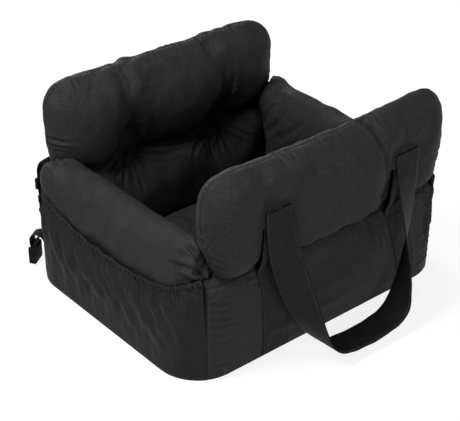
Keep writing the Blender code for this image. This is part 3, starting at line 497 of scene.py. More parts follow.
def near_surface(points, path):
    """Lays the points of a drawn fold onto the nearest vertices of a piece, filled in between."""
    dense = []
    for first, second in zip(path[:-1], path[1:]):
        first, second = np.asarray(first, float), np.asarray(second, float)
        steps = max(2, int(np.linalg.norm(second - first) / 0.008))
        for step in range(steps):
            dense.append(first + (second - first) * step / steps)
    dense.append(np.asarray(path[-1], float))
    laid = np.array([points[closest(points, spot)] for spot in dense])
    soften(laid, 1)
    return laid


def draw_folds(thing, folds):
    """Presses a table of folds into a piece: (path, depth, width, ridge, fade)."""
    points, ways = coordinates(thing), outwards(thing)
    offset = np.zeros(len(points))
    for path, depth, width, ridge, fade in folds:
        fold(points, near_surface(points, path), depth, width, ridge, fade, offset)
    move_to(thing, points + ways * offset[:, None])


def crumple(thing, size, height, seed, keep):
    """Soft unevenness of filled cloth, by a share for each vertex."""
    points, ways = coordinates(thing), outwards(thing)
    lift = wander(points, size, seed) + 0.45 * wander(points, size * 0.42, seed + 9)
    lift *= height
    lift *= keep
    move_to(thing, points + ways * lift[:, None])


def hold_contacts(thing, nodes, reach):
    """1 where a piece lies within reach of other CAD nodes, falling to 0 at twice that."""
    tree = tree_of(*[frame["nodes"][node] for node in nodes])
    held = np.zeros(len(thing.data.vertices))
    for index, vert in enumerate(thing.data.vertices):
        _, _, _, distance = tree.find_nearest(vert.co, 2 * reach)
        if distance is not None:
            held[index] = min(1.0, 2.0 - distance / reach)
    return held


def hold_path(thing, path, reach):
    distance = along_path(coordinates(thing), path)[0]
    return np.exp(-(distance / reach) ** 2)


# ---------------------------------------------------------------- materials

MATH, MIX, RANGE = "ShaderNodeMath", "ShaderNodeMix", "ShaderNodeMapRange"
NOISE, WAVE, BUMP = "ShaderNodeTexNoise", "ShaderNodeTexWave", "ShaderNodeBump"

STITCH_HALF, STITCH_EDGE = 0.0006, 0.0003   # half the thread's width, and its soft edge
DASH_SHARE, DASH_EDGE = 0.62, 0.06          # of a stitch's length
WEAVE_DEPTH = 0.00022
# A wave texture's period is this share of its coordinate over its scale
WAVE_PERIOD = 0.314


def linear(code):
    """An sRGB hex colour as the linear values that shaders take."""
    values = [int(code[place:place + 2], 16) / 255 for place in (0, 2, 4)]
    return tuple(v / 12.92 if v <= 0.04045 else ((v + 0.055) / 1.055) ** 2.4
                 for v in values) + (1.0,)


def shade(code, share):
    """A darker or lighter tone of a colour."""
    red, green, blue, alpha = linear(code)
    return (red * share, green * share, blue * share, alpha)


def add_node(tree, kind, inputs=None, output=None, **settings):
    """Adds a shader node, sets it, links or sets its inputs, and gives back the node, or the
    output that is asked for."""
    node = tree.nodes.new(kind)
    for name, value in settings.items():
        setattr(node, name, value)
    for name, value in (inputs or {}).items():
        if isinstance(value, bpy.types.NodeSocket):
            tree.links.new(value, node.inputs[name])
        else:
            node.inputs[name].default_value = value
    return node if output is None else node.outputs[output]


def new_material(name):
    material = bpy.data.materials.get(name)
    if material:
        return material, None, None
    material = bpy.data.materials.new(name)
    material.use_nodes = True
    tree = material.node_tree
    return material, tree, tree.nodes["Principled BSDF"]


def set_skin(tree, skin, colour, reliefs, values):
    """Links a material's colour and its layers of relief, the coarsest first, each a height,
    a depth in metres and a strength, and sets the other values of its skin."""
    normal = None
    for height, depth, strength in reliefs:
        inputs = {"Height": height, "Distance": depth, "Strength": strength}
        if normal:
            inputs["Normal"] = normal
        normal = add_node(tree, BUMP, inputs, "Normal")
    tree.links.new(colour, skin.inputs["Base Color"])
    tree.links.new(normal, skin.inputs["Normal"])
    for name, value in values.items():
        skin.inputs[name].default_value = value


def weave_height(tree, coordinate, pitch):
    """A plain weave: threads over and under each other at the given pitch."""
    warp, weft = [add_node(tree, WAVE, {"Vector": coordinate, "Scale": WAVE_PERIOD / pitch},
                           "Fac", bands_direction=way) for way in "XY"]
    return add_node(tree, MATH, {0: warp, 1: weft}, 0, operation="MULTIPLY")


def mottled(tree, value, colour, dark, light):
    """A colour that goes from a dark to a light share of itself as a noise value rises."""
    level = add_node(tree, RANGE, {"Value": value, "From Min": 0.35, "From Max": 0.65}, 0)
    return add_node(tree, MIX, {"Factor": level, 6: shade(colour, dark), 7: shade(colour, light)},
                    2, data_type="RGBA")


def sewing(tree, across, along, inset, seam, seam_half, seam_edge):
    """A row of stitches at an inset across the cloth, and a seam's line, with soft edges."""
    pitch = bpy.context.scene.car_seat_cloth.stitch
    masks = []
    for place, change, amount, then, limit, edge in (
            (across, "SUBTRACT", inset, "ABSOLUTE", STITCH_HALF, STITCH_EDGE),
            (along, "DIVIDE", pitch, "FRACT", DASH_SHARE, DASH_EDGE),
            (across, "SUBTRACT", seam, "ABSOLUTE", seam_half, seam_edge)):
        value = add_node(tree, MATH, {0: place, 1: amount}, 0, operation=change)
        value = add_node(tree, MATH, {0: value}, 0, operation=then)
        masks.append(add_node(tree, RANGE,
                              {"Value": value, "From Min": limit - edge, "From Max": limit + edge,
                               "To Min": 1.0, "To Max": 0.0}, 0,
                              interpolation_type="SMOOTHSTEP"))
    row, dash, line = masks
    return add_node(tree, MATH, {0: row, 1: dash}, 0, operation="MULTIPLY"), line


def sewn_relief(tree, stitch, line, rise):
    """Stitches that stand up by a share of the depth to which their seam goes down."""
    raised = add_node(tree, MATH, {0: stitch, 1: rise}, 0, operation="MULTIPLY")
    return add_node(tree, MATH, {0: raised, 1: line}, 0, operation="SUBTRACT")


def cloth_material(name, colour, roughness, sheen, wrinkle=0.0007):
    """Black polyester cloth: a dense plain weave of matt filament yarn, which gives a soft,
    broad highlight and a pale sheen at grazing angles, with small puckers from its filling.
    Its seams are drawn from the seam_side and seam_way attributes of each piece, each as a dark
    line of painted shade in its groove with a row of stitches beside it."""
    material, tree, skin = new_material(name)
    if tree is None:
        return material
    settings = bpy.context.scene.car_seat_cloth
    place = add_node(tree, "ShaderNodeTexCoord", output="Object")
    flat = add_node(tree, "ShaderNodeUVMap", output="UV", uv_map="weave")
    # uneven dye and handling: patches of 40 mm, and slubs of the yarn, drawn coarse at 2.4 mm
    parts = []
    for scale, detail, share in ((25.0, 3.0, 0.25), (420.0, 2.0, 0.75)):
        part = add_node(tree, NOISE, {"Vector": place, "Scale": scale, "Detail": detail}, "Fac")
        parts.append(add_node(tree, MATH, {0: part, 1: share}, 0, operation="MULTIPLY"))
    tone = add_node(tree, MATH, {0: parts[0], 1: parts[1]}, 0, operation="ADD")
    dyed = mottled(tree, tone, colour, 0.68, 1.34)
    # the seam: a dark line where two cloths meet, which is painted shade for the shadow in the
    # seam's groove, with a row of stitches beside it
    kept = add_node(tree, "ShaderNodeAttribute", output="Fac", attribute_name="seam_side")
    side = add_node(tree, MATH, {0: kept, 1: 1.0}, 0, operation="SUBTRACT")
    way = add_node(tree, "ShaderNodeAttribute", output="Fac", attribute_name="seam_way")
    stitch, line = sewing(tree, side, way, 0.0042, 0.0, 0.0007, 0.0006)
    seam_shaded = add_node(tree, MIX, {"Factor": line, 6: dyed, 7: shade(colour, 0.35)}, 2,
                      data_type="RGBA")
    sewn = add_node(tree, MIX, {"Factor": stitch, 6: seam_shaded, 7: linear(settings.thread)}, 2,
                    data_type="RGBA")
    # small puckers of about 12 mm, longer across than along
    pucker = add_node(tree, NOISE, {"Vector": place, "Scale": 80.0, "Detail": 4.0,
                                    "Roughness": 0.55, "Distortion": 0.6}, "Fac")
    set_skin(tree, skin, sewn,
             ((pucker, wrinkle, 1.0), (sewn_relief(tree, stitch, line, 0.7), 0.0006, 1.0),
              (weave_height(tree, flat, settings.weave), WEAVE_DEPTH, 0.6)),
             {"Roughness": roughness, "Specular IOR Level": 0.08, "Sheen Weight": sheen,
              "Sheen Roughness": 0.45, "Sheen Tint": linear("C8C8CC")})
    return material


def shell_cloth():
    return cloth_material("woven polyester shell cloth",
                          bpy.context.scene.car_seat_cloth.shell, 0.60, 0.012)


def lining_cloth():
    return cloth_material("soft woven polyester lining",
                          bpy.context.scene.car_seat_cloth.lining, 0.66, 0.008)


def shaded_pocket_cloth():
    """The same weave as the shell in a darker tone all over, which is painted shade for the
    pocket's side that faces away from the light. It isn't filled, so its small puckers are finer."""
    return cloth_material("gathered polyester pocket cloth",
                          bpy.context.scene.car_seat_cloth.pocket, 0.60, 0.012, 0.0004)


def strap_cloth():
    """Folded and topstitched polyester strap: flat and a little shinier than the filled cloth,
    with a row of stitches along each edge. Its UV map holds metres along and from the edge."""
    material, tree, skin = new_material("folded polyester strap cloth")
    if tree is None:
        return material
    settings = bpy.context.scene.car_seat_cloth
    inset = bpy.context.scene.car_seat_straps.seam_inset
    place = add_node(tree, "ShaderNodeTexCoord", output="Object")
    flat = add_node(tree, "ShaderNodeUVMap", output="UV", uv_map="strap")
    apart = add_node(tree, "ShaderNodeSeparateXYZ", {"Vector": flat})
    stitch, channel = sewing(tree, apart.outputs["Y"], apart.outputs["X"], inset, inset,
                             0.0012, 0.0010)
    patches = add_node(tree, NOISE, {"Vector": place, "Scale": 45.0, "Detail": 4.0}, "Fac")
    sewn = add_node(tree, MIX, {"Factor": stitch, 6: mottled(tree, patches, settings.strap,
                                                             0.85, 1.2),
                                7: linear(settings.thread)}, 2, data_type="RGBA")
    pucker = add_node(tree, NOISE, {"Vector": place, "Scale": 110.0, "Detail": 4.0,
                                    "Roughness": 0.6}, "Fac")
    set_skin(tree, skin, sewn,
             ((pucker, 0.0014, 1.0), (sewn_relief(tree, stitch, channel, 0.8), 0.0004, 1.0),
              (weave_height(tree, flat, settings.weave), WEAVE_DEPTH, 0.6)),
             {"Roughness": 0.58, "Specular IOR Level": 0.08, "Sheen Weight": 0.005,
              "Sheen Roughness": 0.45})
    return material


def belt_webbing():
    """Woven polypropylene webbing of 25 mm: ribs along its length, crossed by fine picks, with
    a dull silky gloss."""
    material, tree, skin = new_material("woven polypropylene webbing")
    if tree is None:
        return material
    strap = bpy.context.scene.car_seat_cloth.strap
    rib = bpy.context.scene.car_seat_straps.rib
    flat = add_node(tree, "ShaderNodeUVMap", output="UV", uv_map="strap")
    ribs, picks = [add_node(tree, WAVE, {"Vector": flat, "Scale": WAVE_PERIOD / pitch}, "Fac",
                            bands_direction=way) for pitch, way in ((rib, "Y"), (0.8 * rib, "X"))]
    low = add_node(tree, MATH, {0: picks, 1: 0.5}, 0, operation="MULTIPLY")
    height = add_node(tree, MATH, {0: ribs, 1: low}, 0, operation="ADD")
    # darker in the grooves between the ribs and lighter on their tops: painted shade and painted
    # highlight that follow the ribs' height
    tone = add_node(tree, MIX, {"Factor": ribs, 6: shade(strap, 0.6), 7: shade(strap, 1.1)}, 2,
                    data_type="RGBA")
    set_skin(tree, skin, tone, ((height, 0.0003, 0.8),),
             {"Roughness": 0.6, "Specular IOR Level": 0.06})
    return material


def plain_material(name, colour, roughness, scale, depth, specular=0.5):
    """A moulded or foamed plastic: one colour with a fine grain. The grain's scale is per
    metre."""
    material, tree, skin = new_material(name)
    if tree is None:
        return material
    place = add_node(tree, "ShaderNodeTexCoord", output="Object")
    grain = add_node(tree, NOISE, {"Vector": place, "Scale": scale, "Detail": 3.0}, "Fac")
    tone = add_node(tree, MIX, {"Factor": grain, 6: shade(colour, 0.85), 7: shade(colour, 1.15)},
                    2, data_type="RGBA")
    set_skin(tree, skin, tone, ((grain, depth, 1.0),),
             {"Roughness": roughness, "Specular IOR Level": specular})
    return material


def buckle_plastic():
    """Moulded acetal: smooth, hard and slightly waxy, with a spark-eroded grain of 0.4 mm."""
    return plain_material("moulded black acetal", "131314", 0.6, 2500.0, 0.00004, 0.06)


def wall_foam():
    """Closed-cell polyethylene foam: pale and matt, with cells of about 1 mm."""
    return plain_material("closed-cell polyethylene foam", "D8D8D4", 0.85, 900.0, 0.0002, 0.3)


def base_foam_cloth():
    """Black needle-felted polyester over the base's foam: matt, with a fibrous grain of 2 mm."""
    return plain_material("black needled polyester felt", "262628", 0.9, 500.0, 0.0003, 0.1)


def base_plastic():
    """Extruded polypropylene board: dull black with faint drawn lines."""
    return plain_material("extruded polypropylene board", "242426", 0.5, 300.0, 0.0001)


# ---------------------------------------------------------------- the tub's outline

def side_spot(side, way):
    """A place on the outline and its outward direction, way metres from a side's middle
    towards the front."""
    straight = HALF_DEPTH - CORNER
    over = abs(way) - straight
    if over <= 0:
        return Vector((side * HALF_WIDTH, -way, 0)), Vector((side, 0, 0))
    turn = over / CORNER
    toward = -math.copysign(1, way)
    out = Vector((side * math.cos(turn), toward * math.sin(turn), 0))
    return Vector((side * (HALF_WIDTH - CORNER), toward * straight, 0)) + out * CORNER, out


def end_spot(end, way):
    """The same on the front or back, way metres from its middle towards +X."""
    straight = HALF_WIDTH - CORNER
    over = abs(way) - straight
    if over <= 0:
        return Vector((way, end * HALF_DEPTH, 0)), Vector((0, end, 0))
    turn = over / CORNER
    sign = math.copysign(1, way)
    out = Vector((sign * math.sin(turn), end * math.cos(turn), 0))
    return Vector((sign * straight, end * (HALF_DEPTH - CORNER), 0)) + out * CORNER, out


def wall_point(spot, out, depth, height):
    """A place at a height, at a depth inside the outline."""
    return tuple(spot - out * depth + Vector((0, 0, height)))


def surface_depth(tree, spot, out, height):
    """How far inside the outline a CAD surface lies, looking in from outside, or None."""
    origin = Vector((spot.x, spot.y, height)) + out * LOOK_FROM
    _, _, _, distance = tree.ray_cast(origin, -out, LOOK_REACH)
    return None if distance is None else distance - LOOK_FROM


# ---------------------------------------------------------------- padded pieces

# How near a vertex lies to what holds it while the filling swells: a neighbour, or a seam
CONTACT_REACH, SEAM_HOLD = 0.004, 0.006
FREE_REACH, FREE_SHARE = 0.003, 0.8    # cloth against a neighbour crumples less
# Puckers along a rim or an inner seam: spacing, length, depth and half width
RIM_PUCKERS = (0.011, 0.016, 0.0008, 0.0022)
LINE_PUCKERS = (0.014, 0.014, 0.0007, 0.0024)
SEAM_DEPTH, SEAM_HALF = 0.0014, 0.0030
BROAD_CRUMPLE, FINE_CRUMPLE, CRUMPLE_HEIGHT = 0.075, 0.022, 0.0009
# A handle's sewn root: how tall it is, how its press fades in, and how the cushion is looked for
ROOT_TALL, ROOT_FADE = 0.034, 0.010
ROOT_BACK, ROOT_REACH, ROOT_GAP = 0.004, 0.020, 0.0009

# Folds in millimetres: (points, depth, half width, ridge share, fade at start and end).
# A negative depth raises the fold.
FRONT_FOLDS = [
    ([(78, -225, 364), (86, -246, 348), (92, -257, 316), (100, -256, 272), (89, -258, 245)],
     4.4, 7.0, 0.1, (0.0, 0.3)),
    ([(95, -256, 318), (102, -257, 282), (98, -257, 255), (84, -255, 226)],
     3.0, 3.0, 0.3, (0.4, 0.2)),
    ([(58, -207, 361), (72, -235, 358), (86, -250, 340)], 2.2, 3.2, 0.2, (0.1, 0.6)),
    ([(92, -205, 361), (88, -235, 356), (96, -252, 334)], 1.8, 2.8, 0.2, (0.1, 0.6)),
    ([(104, -210, 362), (100, -238, 355), (104, -253, 330)], 1.2, 2.8, 0.2, (0.1, 0.6)),
    ([(-144, -225, 366), (-158, -246, 346), (-154, -249, 300)], 2.4, 15.0, 0.3, (0.2, 0.1)),
    ([(-160, -255, 296), (-159, -257, 262), (-158, -257, 225), (-151, -252, 194)],
     1.6, 2.6, 0.6, (0.1, 0.2)),
    ([(-109, -214, 365), (-106, -236, 359), (-104, -246, 350)], 1.4, 3.0, 0.6, (0.0, 0.6)),
    ([(-85, -220, 364), (-83, -239, 357), (-84, -247, 348)], 1.2, 2.8, 0.6, (0.0, 0.6)),
    ([(-20, -214, 363), (-24, -236, 356)], 0.9, 3.0, 0.6, (0.0, 0.6)),
    ([(20, -214, 363), (22, -238, 355)], 0.9, 3.0, 0.6, (0.0, 0.6)),
    ([(-259, -220, 266), (-252, -236, 252), (-236, -246, 244)], 1.8, 3.2, 0.7, (0.0, 0.5)),
    ([(-259, -216, 289), (-257, -227, 272), (-250, -237, 250)], 1.5, 3.0, 0.7, (0.1, 0.4)),
    ([(-256, -224, 236), (-246, -240, 232), (-228, -248, 231)], 1.6, 3.0, 0.7, (0.0, 0.5)),
    ([(-250, -228, 216), (-238, -242, 216), (-218, -248, 219)], 1.2, 3.0, 0.7, (0.0, 0.5)),
    ([(-205, -252, 330), (-196, -256, 296), (-200, -256, 262)], 1.2, 14.0, 0.4, (0.3, 0.3)),
    ([(-60, -254, 345), (-52, -258, 310), (-58, -258, 270)], 1.2, 16.0, 0.4, (0.3, 0.3)),
    ([(30, -254, 345), (40, -258, 310), (34, -258, 268)], 1.0, 16.0, 0.4, (0.3, 0.3)),
    ([(124, -255, 288), (118, -257, 262), (104, -258, 240), (84, -256, 226)],
     2.2, 3.6, 0.6, (0.1, 0.4)),
    ([(124, -254, 264), (114, -256, 246), (98, -256, 234)], 1.6, 2.6, 0.7, (0.0, 0.5)),
    ([(125, -254, 260), (118, -255, 238), (106, -256, 222)], 1.6, 2.6, 0.7, (0.0, 0.5)),
    ([(126, -254, 256), (122, -255, 232), (116, -255, 212)], 1.4, 2.6, 0.7, (0.0, 0.5)),
    ([(198, -252, 345), (206, -255, 312), (202, -254, 280)], 1.2, 13.0, 0.4, (0.3, 0.3)),
    ([(258, -222, 290), (246, -240, 276), (228, -250, 268)], 1.5, 3.4, 0.6, (0.0, 0.5)),
    ([(257, -222, 262), (243, -241, 256), (226, -250, 252)], 1.5, 3.4, 0.6, (0.0, 0.5)),
    ([(255, -222, 236), (242, -240, 236), (222, -249, 234)], 1.3, 3.2, 0.6, (0.0, 0.5)),
]
BACK_FOLDS = [
    # the two soft channels from the tufts to the top edge
    ([(-104, 206, 360), (-101, 185, 336), (-108, 175, 302), (-90, 183, 262), (-88, 206, 212)],
     3.8, 13.0, 0.4, (0.1, 0.0)),
    ([(-96, 200, 352), (-92, 180, 330), (-98, 175, 300)], 1.0, 3.4, 0.7, (0.0, 0.6)),
    ([(84, 203, 356), (96, 182, 333), (109, 176, 290), (124, 188, 243), (121, 209, 192)],
     3.8, 12.0, 0.4, (0.1, 0.0)),
    ([(76, 206, 357), (90, 184, 340), (104, 176, 312)], 1.4, 3.4, 0.7, (0.0, 0.6)),
    # the fan of folds beside the right tuft
    ([(122, 212, 184), (136, 188, 228), (137, 176, 275), (130, 175, 312)],
     2.4, 4.2, 0.7, (0.0, 0.6)),
    ([(126, 212, 184), (146, 186, 226), (161, 175, 270)], 2.6, 4.0, 0.7, (0.0, 0.5)),
    ([(128, 212, 184), (160, 186, 210), (190, 178, 236)], 2.4, 4.0, 0.7, (0.0, 0.5)),
    ([(130, 212, 183), (170, 192, 190), (206, 184, 204)], 2.2, 4.0, 0.7, (0.0, 0.5)),
    ([(112, 212, 186), (96, 190, 220), (88, 178, 258)], 1.4, 5.0, 0.6, (0.0, 0.6)),
    # round the left tuft
    ([(-88, 210, 198), (-70, 188, 226), (-56, 178, 256)], 1.0, 6.0, 0.3, (0.0, 0.6)),
    ([(-86, 210, 196), (-56, 194, 204), (-30, 186, 222)], 1.0, 5.0, 0.4, (0.0, 0.6)),
    ([(-94, 210, 198), (-112, 190, 222), (-128, 178, 254)], 1.0, 6.0, 0.3, (0.0, 0.6)),
    ([(-96, 210, 196), (-128, 196, 204), (-160, 188, 214)], 1.2, 4.6, 0.4, (0.0, 0.6)),
    # its ends and its top edge
    ([(-252, 208, 264), (-238, 190, 262), (-214, 182, 256)], 1.6, 3.2, 0.7, (0.0, 0.5)),
    ([(-251, 208, 252), (-238, 190, 250), (-212, 183, 244)], 1.4, 3.0, 0.7, (0.0, 0.5)),
    ([(-199, 214, 361), (-199, 196, 353), (-196, 184, 340)], 1.4, 3.0, 0.7, (0.0, 0.6)),
    ([(-150, 214, 361), (-148, 195, 352)], 1.0, 3.0, 0.6, (0.0, 0.6)),
    ([(-30, 214, 358), (-32, 194, 349)], 1.0, 3.2, 0.6, (0.0, 0.6)),
    ([(28, 214, 357), (30, 192, 347)], 1.0, 3.2, 0.6, (0.0, 0.6)),
    ([(160, 214, 352), (158, 192, 343)], 1.0, 3.2, 0.6, (0.0, 0.6)),
    ([(250, 210, 240), (236, 192, 236), (216, 184, 228)], 1.4, 3.2, 0.7, (0.0, 0.5)),
    # its outer face, which hangs over the wall as the front one does
    ([(-96, 230, 356), (-104, 250, 318), (-100, 252, 270)], 2.0, 9.0, 0.5, (0.0, 0.3)),
    ([(120, 232, 350), (112, 250, 312), (116, 252, 264)], 2.0, 9.0, 0.5, (0.0, 0.3)),
    ([(10, 230, 355), (4, 248, 330)], 1.4, 4.0, 0.6, (0.0, 0.6)),
    ([(-200, 232, 352), (-190, 248, 322)], 1.2, 4.0, 0.6, (0.0, 0.6)),
]
BACK_LINING_FOLDS = [
    ([(-92, 211, 180), (-118, 198, 177), (-140, 187, 172), (-162, 179, 169)],
     2.2, 3.8, 0.7, (0.0, 0.5)),
    ([(-92, 211, 179), (-112, 194, 170), (-128, 182, 163), (-152, 165, 152)],
     2.4, 3.6, 0.7, (0.0, 0.5)),
    ([(-91, 211, 179), (-106, 192, 168), (-120, 176, 156), (-130, 157, 133)],
     2.4, 3.4, 0.7, (0.0, 0.4)),
    ([(-90, 211, 179), (-96, 190, 166), (-104, 172, 150), (-108, 156, 122)],
     2.2, 3.2, 0.7, (0.0, 0.5)),
    ([(-89, 211, 179), (-88, 188, 164), (-92, 166, 142), (-91, 154, 104)],
     2.0, 3.2, 0.7, (0.0, 0.5)),
    ([(-88, 211, 179), (-76, 190, 168), (-70, 170, 152), (-58, 156, 128)],
     1.8, 3.8, 0.7, (0.0, 0.5)),
    ([(-84, 211, 181), (-62, 194, 175), (-30, 176, 165), (22, 168, 161)],
     2.6, 4.4, 0.8, (0.0, 0.3)),
    ([(-84, 211, 182), (-46, 202, 180), (-4, 184, 174), (42, 181, 172), (98, 205, 176)],
     1.6, 3.2, 0.6, (0.1, 0.1)),
    ([(-96, 211, 180), (-132, 206, 179), (-170, 198, 179)], 1.6, 3.4, 0.6, (0.0, 0.4)),
    ([(118, 212, 178), (92, 196, 170), (54, 174, 166), (28, 161, 154), (20, 156, 134)],
     2.2, 4.0, 0.8, (0.0, 0.4)),
    ([(118, 212, 178), (98, 192, 163), (78, 170, 153), (78, 157, 134), (82, 153, 108)],
     2.2, 3.6, 0.7, (0.0, 0.4)),
    ([(119, 212, 178), (108, 188, 156), (98, 168, 138), (100, 154, 110)],
     1.8, 3.4, 0.7, (0.0, 0.5)),
    ([(120, 212, 178), (112, 188, 154), (114, 172, 142), (124, 154, 106)],
     2.2, 3.4, 0.7, (0.0, 0.4)),
    ([(121, 212, 178), (126, 186, 158), (136, 172, 146), (154, 155, 124)],
     2.4, 3.6, 0.7, (0.0, 0.4)),
    ([(122, 212, 178), (134, 190, 163), (150, 172, 152), (178, 158, 134)],
     2.0, 3.4, 0.7, (0.0, 0.4)),
    ([(123, 212, 179), (150, 190, 170), (176, 178, 163), (206, 172, 154)],
     2.0, 3.4, 0.7, (0.0, 0.4)),
]
FRONT_SWELLS = [
    ((-15, -258, 300), (55, 30, 50), (0, -5, 0)), ((-15, -252, 225), (65, 26, 26), (0, -5, -5)),
    ((-215, -250, 290), (30, 26, 50), (0, -4, 0)), ((205, -250, 300), (40, 26, 50), (0, -3, 0)),
    ((185, -228, 372), (80, 30, 26), (0, 0, 5)), ((120, -256, 262), (16, 22, 26), (0, 8, 0)),
    ((112, -256, 230), (20, 20, 18), (0, 13, 5)), ((70, -256, 262), (30, 24, 30), (0, -4, -2)),
    ((-262, -218, 206), (34, 60, 40), (15, 0, 2)), ((262, -218, 206), (30, 60, 34), (-8, 0, 2)),
]
BACK_SWELLS = [
    ((14, 176, 255), (54, 30, 48), (0, -11, -3)), ((14, 192, 205), (50, 26, 22), (0, -6, -4)),
    ((-170, 182, 270), (40, 30, 50), (0, -8, -2)), ((-172, 196, 220), (36, 26, 22), (0, -5, -3)),
    ((196, 182, 280), (34, 26, 50), (0, -5, 0)), ((-88, 194, 216), (34, 42, 34), (0, 15, -2)),
    ((121, 196, 206), (32, 40, 32), (0, 12, -3)), ((-256, 210, 206), (24, 50, 30), (6, 0, 0)),
]
LINING_SWELLS = [((-88, 204, 178), (22, 26, 16), (0, 6, 1)),
                 ((120, 204, 178), (22, 26, 16), (0, 6, 2)),
                 ((16, 174, 152), (56, 26, 26), (0, -7, 0)),
                 ((-150, 174, 150), (36, 26, 26), (0, -5, 0)),
                 ((176, 174, 150), (36, 26, 26), (0, -5, 0))]
LEFT_ROLL_SWELLS = [((-264, 186, 196), (22, 34, 30), (-11, 4, 0)),
                    ((-228, 198, 207), (20, 18, 22), (3, 9, 5)),
                    ((-254, 206, 214), (20, 18, 20), (0, 4, 3)),
                    ((-208, -192, 192), (18, 20, 24), (4, -6, 5))]
RIGHT_ROLL_SWELLS = [((238, 20, 236), (50, 110, 40), (0, 0, 9)),
                     ((220, 196, 207), (18, 18, 24), (-6, 8, 4)),
                     ((264, 186, 196), (22, 34, 30), (7, 4, 0)),
                     ((208, -192, 192), (18, 20, 24), (-4, -6, 5))]
SEAT_FOLDS = [
    ([(-150, -120, 70), (-120, -96, 74), (-96, -80, 74)], 1.6, 6.0, 0.5, (0.1, 0.5)),
    ([(152, -118, 70), (124, -94, 74), (98, -78, 74)], 1.6, 6.0, 0.5, (0.1, 0.5)),
    ([(-154, 108, 70), (-124, 88, 74), (-96, 74, 74)], 1.6, 6.0, 0.5, (0.1, 0.5)),
    ([(150, 110, 70), (122, 90, 74), (96, 74, 74)], 1.6, 6.0, 0.5, (0.1, 0.5)),
    ([(0, -150, 70), (4, -118, 74)], 1.0, 7.0, 0.5, (0.0, 0.6)),
    ([(-6, 132, 72), (0, 108, 74)], 1.0, 7.0, 0.5, (0.0, 0.6)),
]
LEFT_ROLL_FOLDS = [
    ([(-244, 176, 236), (-259, 150, 230), (-280, 128, 198)], 1.4, 12.0, 0.4, (0.2, 0.4)),
    ([(-222, 70, 231), (-236, 52, 228), (-262, 22, 212)], 1.2, 14.0, 0.4, (0.3, 0.4)),
    ([(-208, -20, 214), (-228, -44, 224), (-258, -66, 212)], 1.2, 14.0, 0.4, (0.3, 0.4)),
]
# The left roll's front end, drawn in to the point where it meets the front cushion's seam
ROLL_PINCHES = [
    ([(-247, -204, 190), (-258, -199, 200), (-268, -188, 208), (-276, -168, 206),
      (-281, -146, 200)], 5.2, 4.2, 0.45, (0.0, 0.45)),
    ([(-246, -203, 198), (-247, -193, 222), (-248, -176, 230), (-249, -150, 232)],
     4.8, 3.6, 0.45, (0.0, 0.45)),
    ([(-244, -203, 198), (-236, -190, 224), (-226, -172, 230), (-212, -146, 224)],
     5.0, 3.8, 0.45, (0.0, 0.45)),
    ([(-248, -205, 186), (-262, -202, 188), (-275, -192, 186)], 3.2, 3.0, 0.45, (0.0, 0.45)),
    ([(-240, -204, 196), (-226, -196, 214), (-212, -182, 216)], 5.4, 3.8, 0.45, (0.0, 0.5)),
    ([(-247, -204, 194), (-254, -192, 214), (-262, -172, 222), (-266, -150, 222)],
     3.2, 3.2, 0.45, (0.0, 0.5)),
]
RIGHT_ROLL_FOLDS = [
    ([(203, 166, 190), (211, 156, 216), (226, 150, 230), (240, 138, 232)],
     1.8, 4.6, 0.7, (0.0, 0.5)),
    ([(200, 158, 160), (205, 134, 200), (222, 122, 224), (236, 112, 228)],
     2.0, 5.0, 0.7, (0.0, 0.5)),
    ([(198, 150, 140), (199, 112, 178), (212, 92, 212), (228, 84, 226)],
     1.8, 5.4, 0.7, (0.1, 0.5)),
    ([(198, 120, 140), (199, 70, 178), (211, 46, 208), (228, 34, 224)],
     1.4, 6.0, 0.7, (0.2, 0.5)),
    ([(206, 148, 214), (214, 126, 222)], 1.2, 3.0, 0.7, (0.0, 0.6)),
    ([(240, 60, 230), (262, 40, 216), (278, 18, 190)], 1.2, 13.0, 0.4, (0.3, 0.4)),
    ([(236, -60, 228), (258, -84, 214)], 1.2, 13.0, 0.4, (0.3, 0.4)),
]


def in_metres(folds, deeper=1.0):
    return [([tuple(value * MM for value in point) for point in path], depth * deeper * MM,
             width * MM, ridge, fade) for path, depth, width, ridge, fade in folds]


def swell(thing, swells):
    """Moves soft regions of a piece: a table of centre, reach and move along X, Y and Z, in
    millimetres."""
    points = coordinates(thing)
    for centre, reach, move in swells:
        away = (points - np.array(centre) * MM) / (np.array(reach) * MM)
        points += np.exp(-(away ** 2).sum(1))[:, None] * (np.array(move) * MM)
    move_to(thing, points)


def back_gathers(side, seed):
    """Gathers at a roll's back end, from the corner seam's pinched point out over its section."""
    chance = random.Random(seed)
    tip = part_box(SIDE_WORD[side] + "_roll")[1].y
    height = 0.208
    root = (side * 0.246, tip - 0.006, height)
    folds = []
    for turn in (-60, -22, 8, 36, 62, 88, 118, 150, 190):
        angle = math.radians(turn + chance.uniform(-6, 6))
        reach = 0.066 * chance.uniform(0.55, 1.2)
        middle = (side * (0.243 + 0.020 * math.cos(angle)), tip - 0.40 * reach,
                  height + 0.004 + 0.018 * math.sin(angle))
        far = (side * (0.241 + 0.040 * math.cos(angle)), tip - reach,
               height + 0.012 + 0.034 * math.sin(angle))
        folds.append(([root, middle, far], chance.uniform(1.4, 2.6) * MM,
                      chance.uniform(3.2, 4.6) * MM, 0.7, (0.0, 0.85)))
    return folds


def press_behind(thing, strap):
    """Brings a cushion up against the sewn roots of a handle, so that no gap shows there."""
    tree = tree_of(frame["nodes"][strap])
    end = FRONT if strap.startswith("front") else BACK
    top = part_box(strap)[1].z
    points = coordinates(thing)
    for index in np.flatnonzero(points[:, 2] > top - ROOT_TALL):
        spot = Vector(points[index])
        _, _, _, distance = tree.ray_cast(spot - Vector((0, end * ROOT_BACK, 0)),
                                          Vector((0, end, 0)), ROOT_REACH)
        if distance is not None:
            share = float(rounded((spot.z - top + ROOT_TALL) / ROOT_FADE))
            points[index, 1] += end * (distance - ROOT_BACK - ROOT_GAP) * share
    move_to(thing, points)


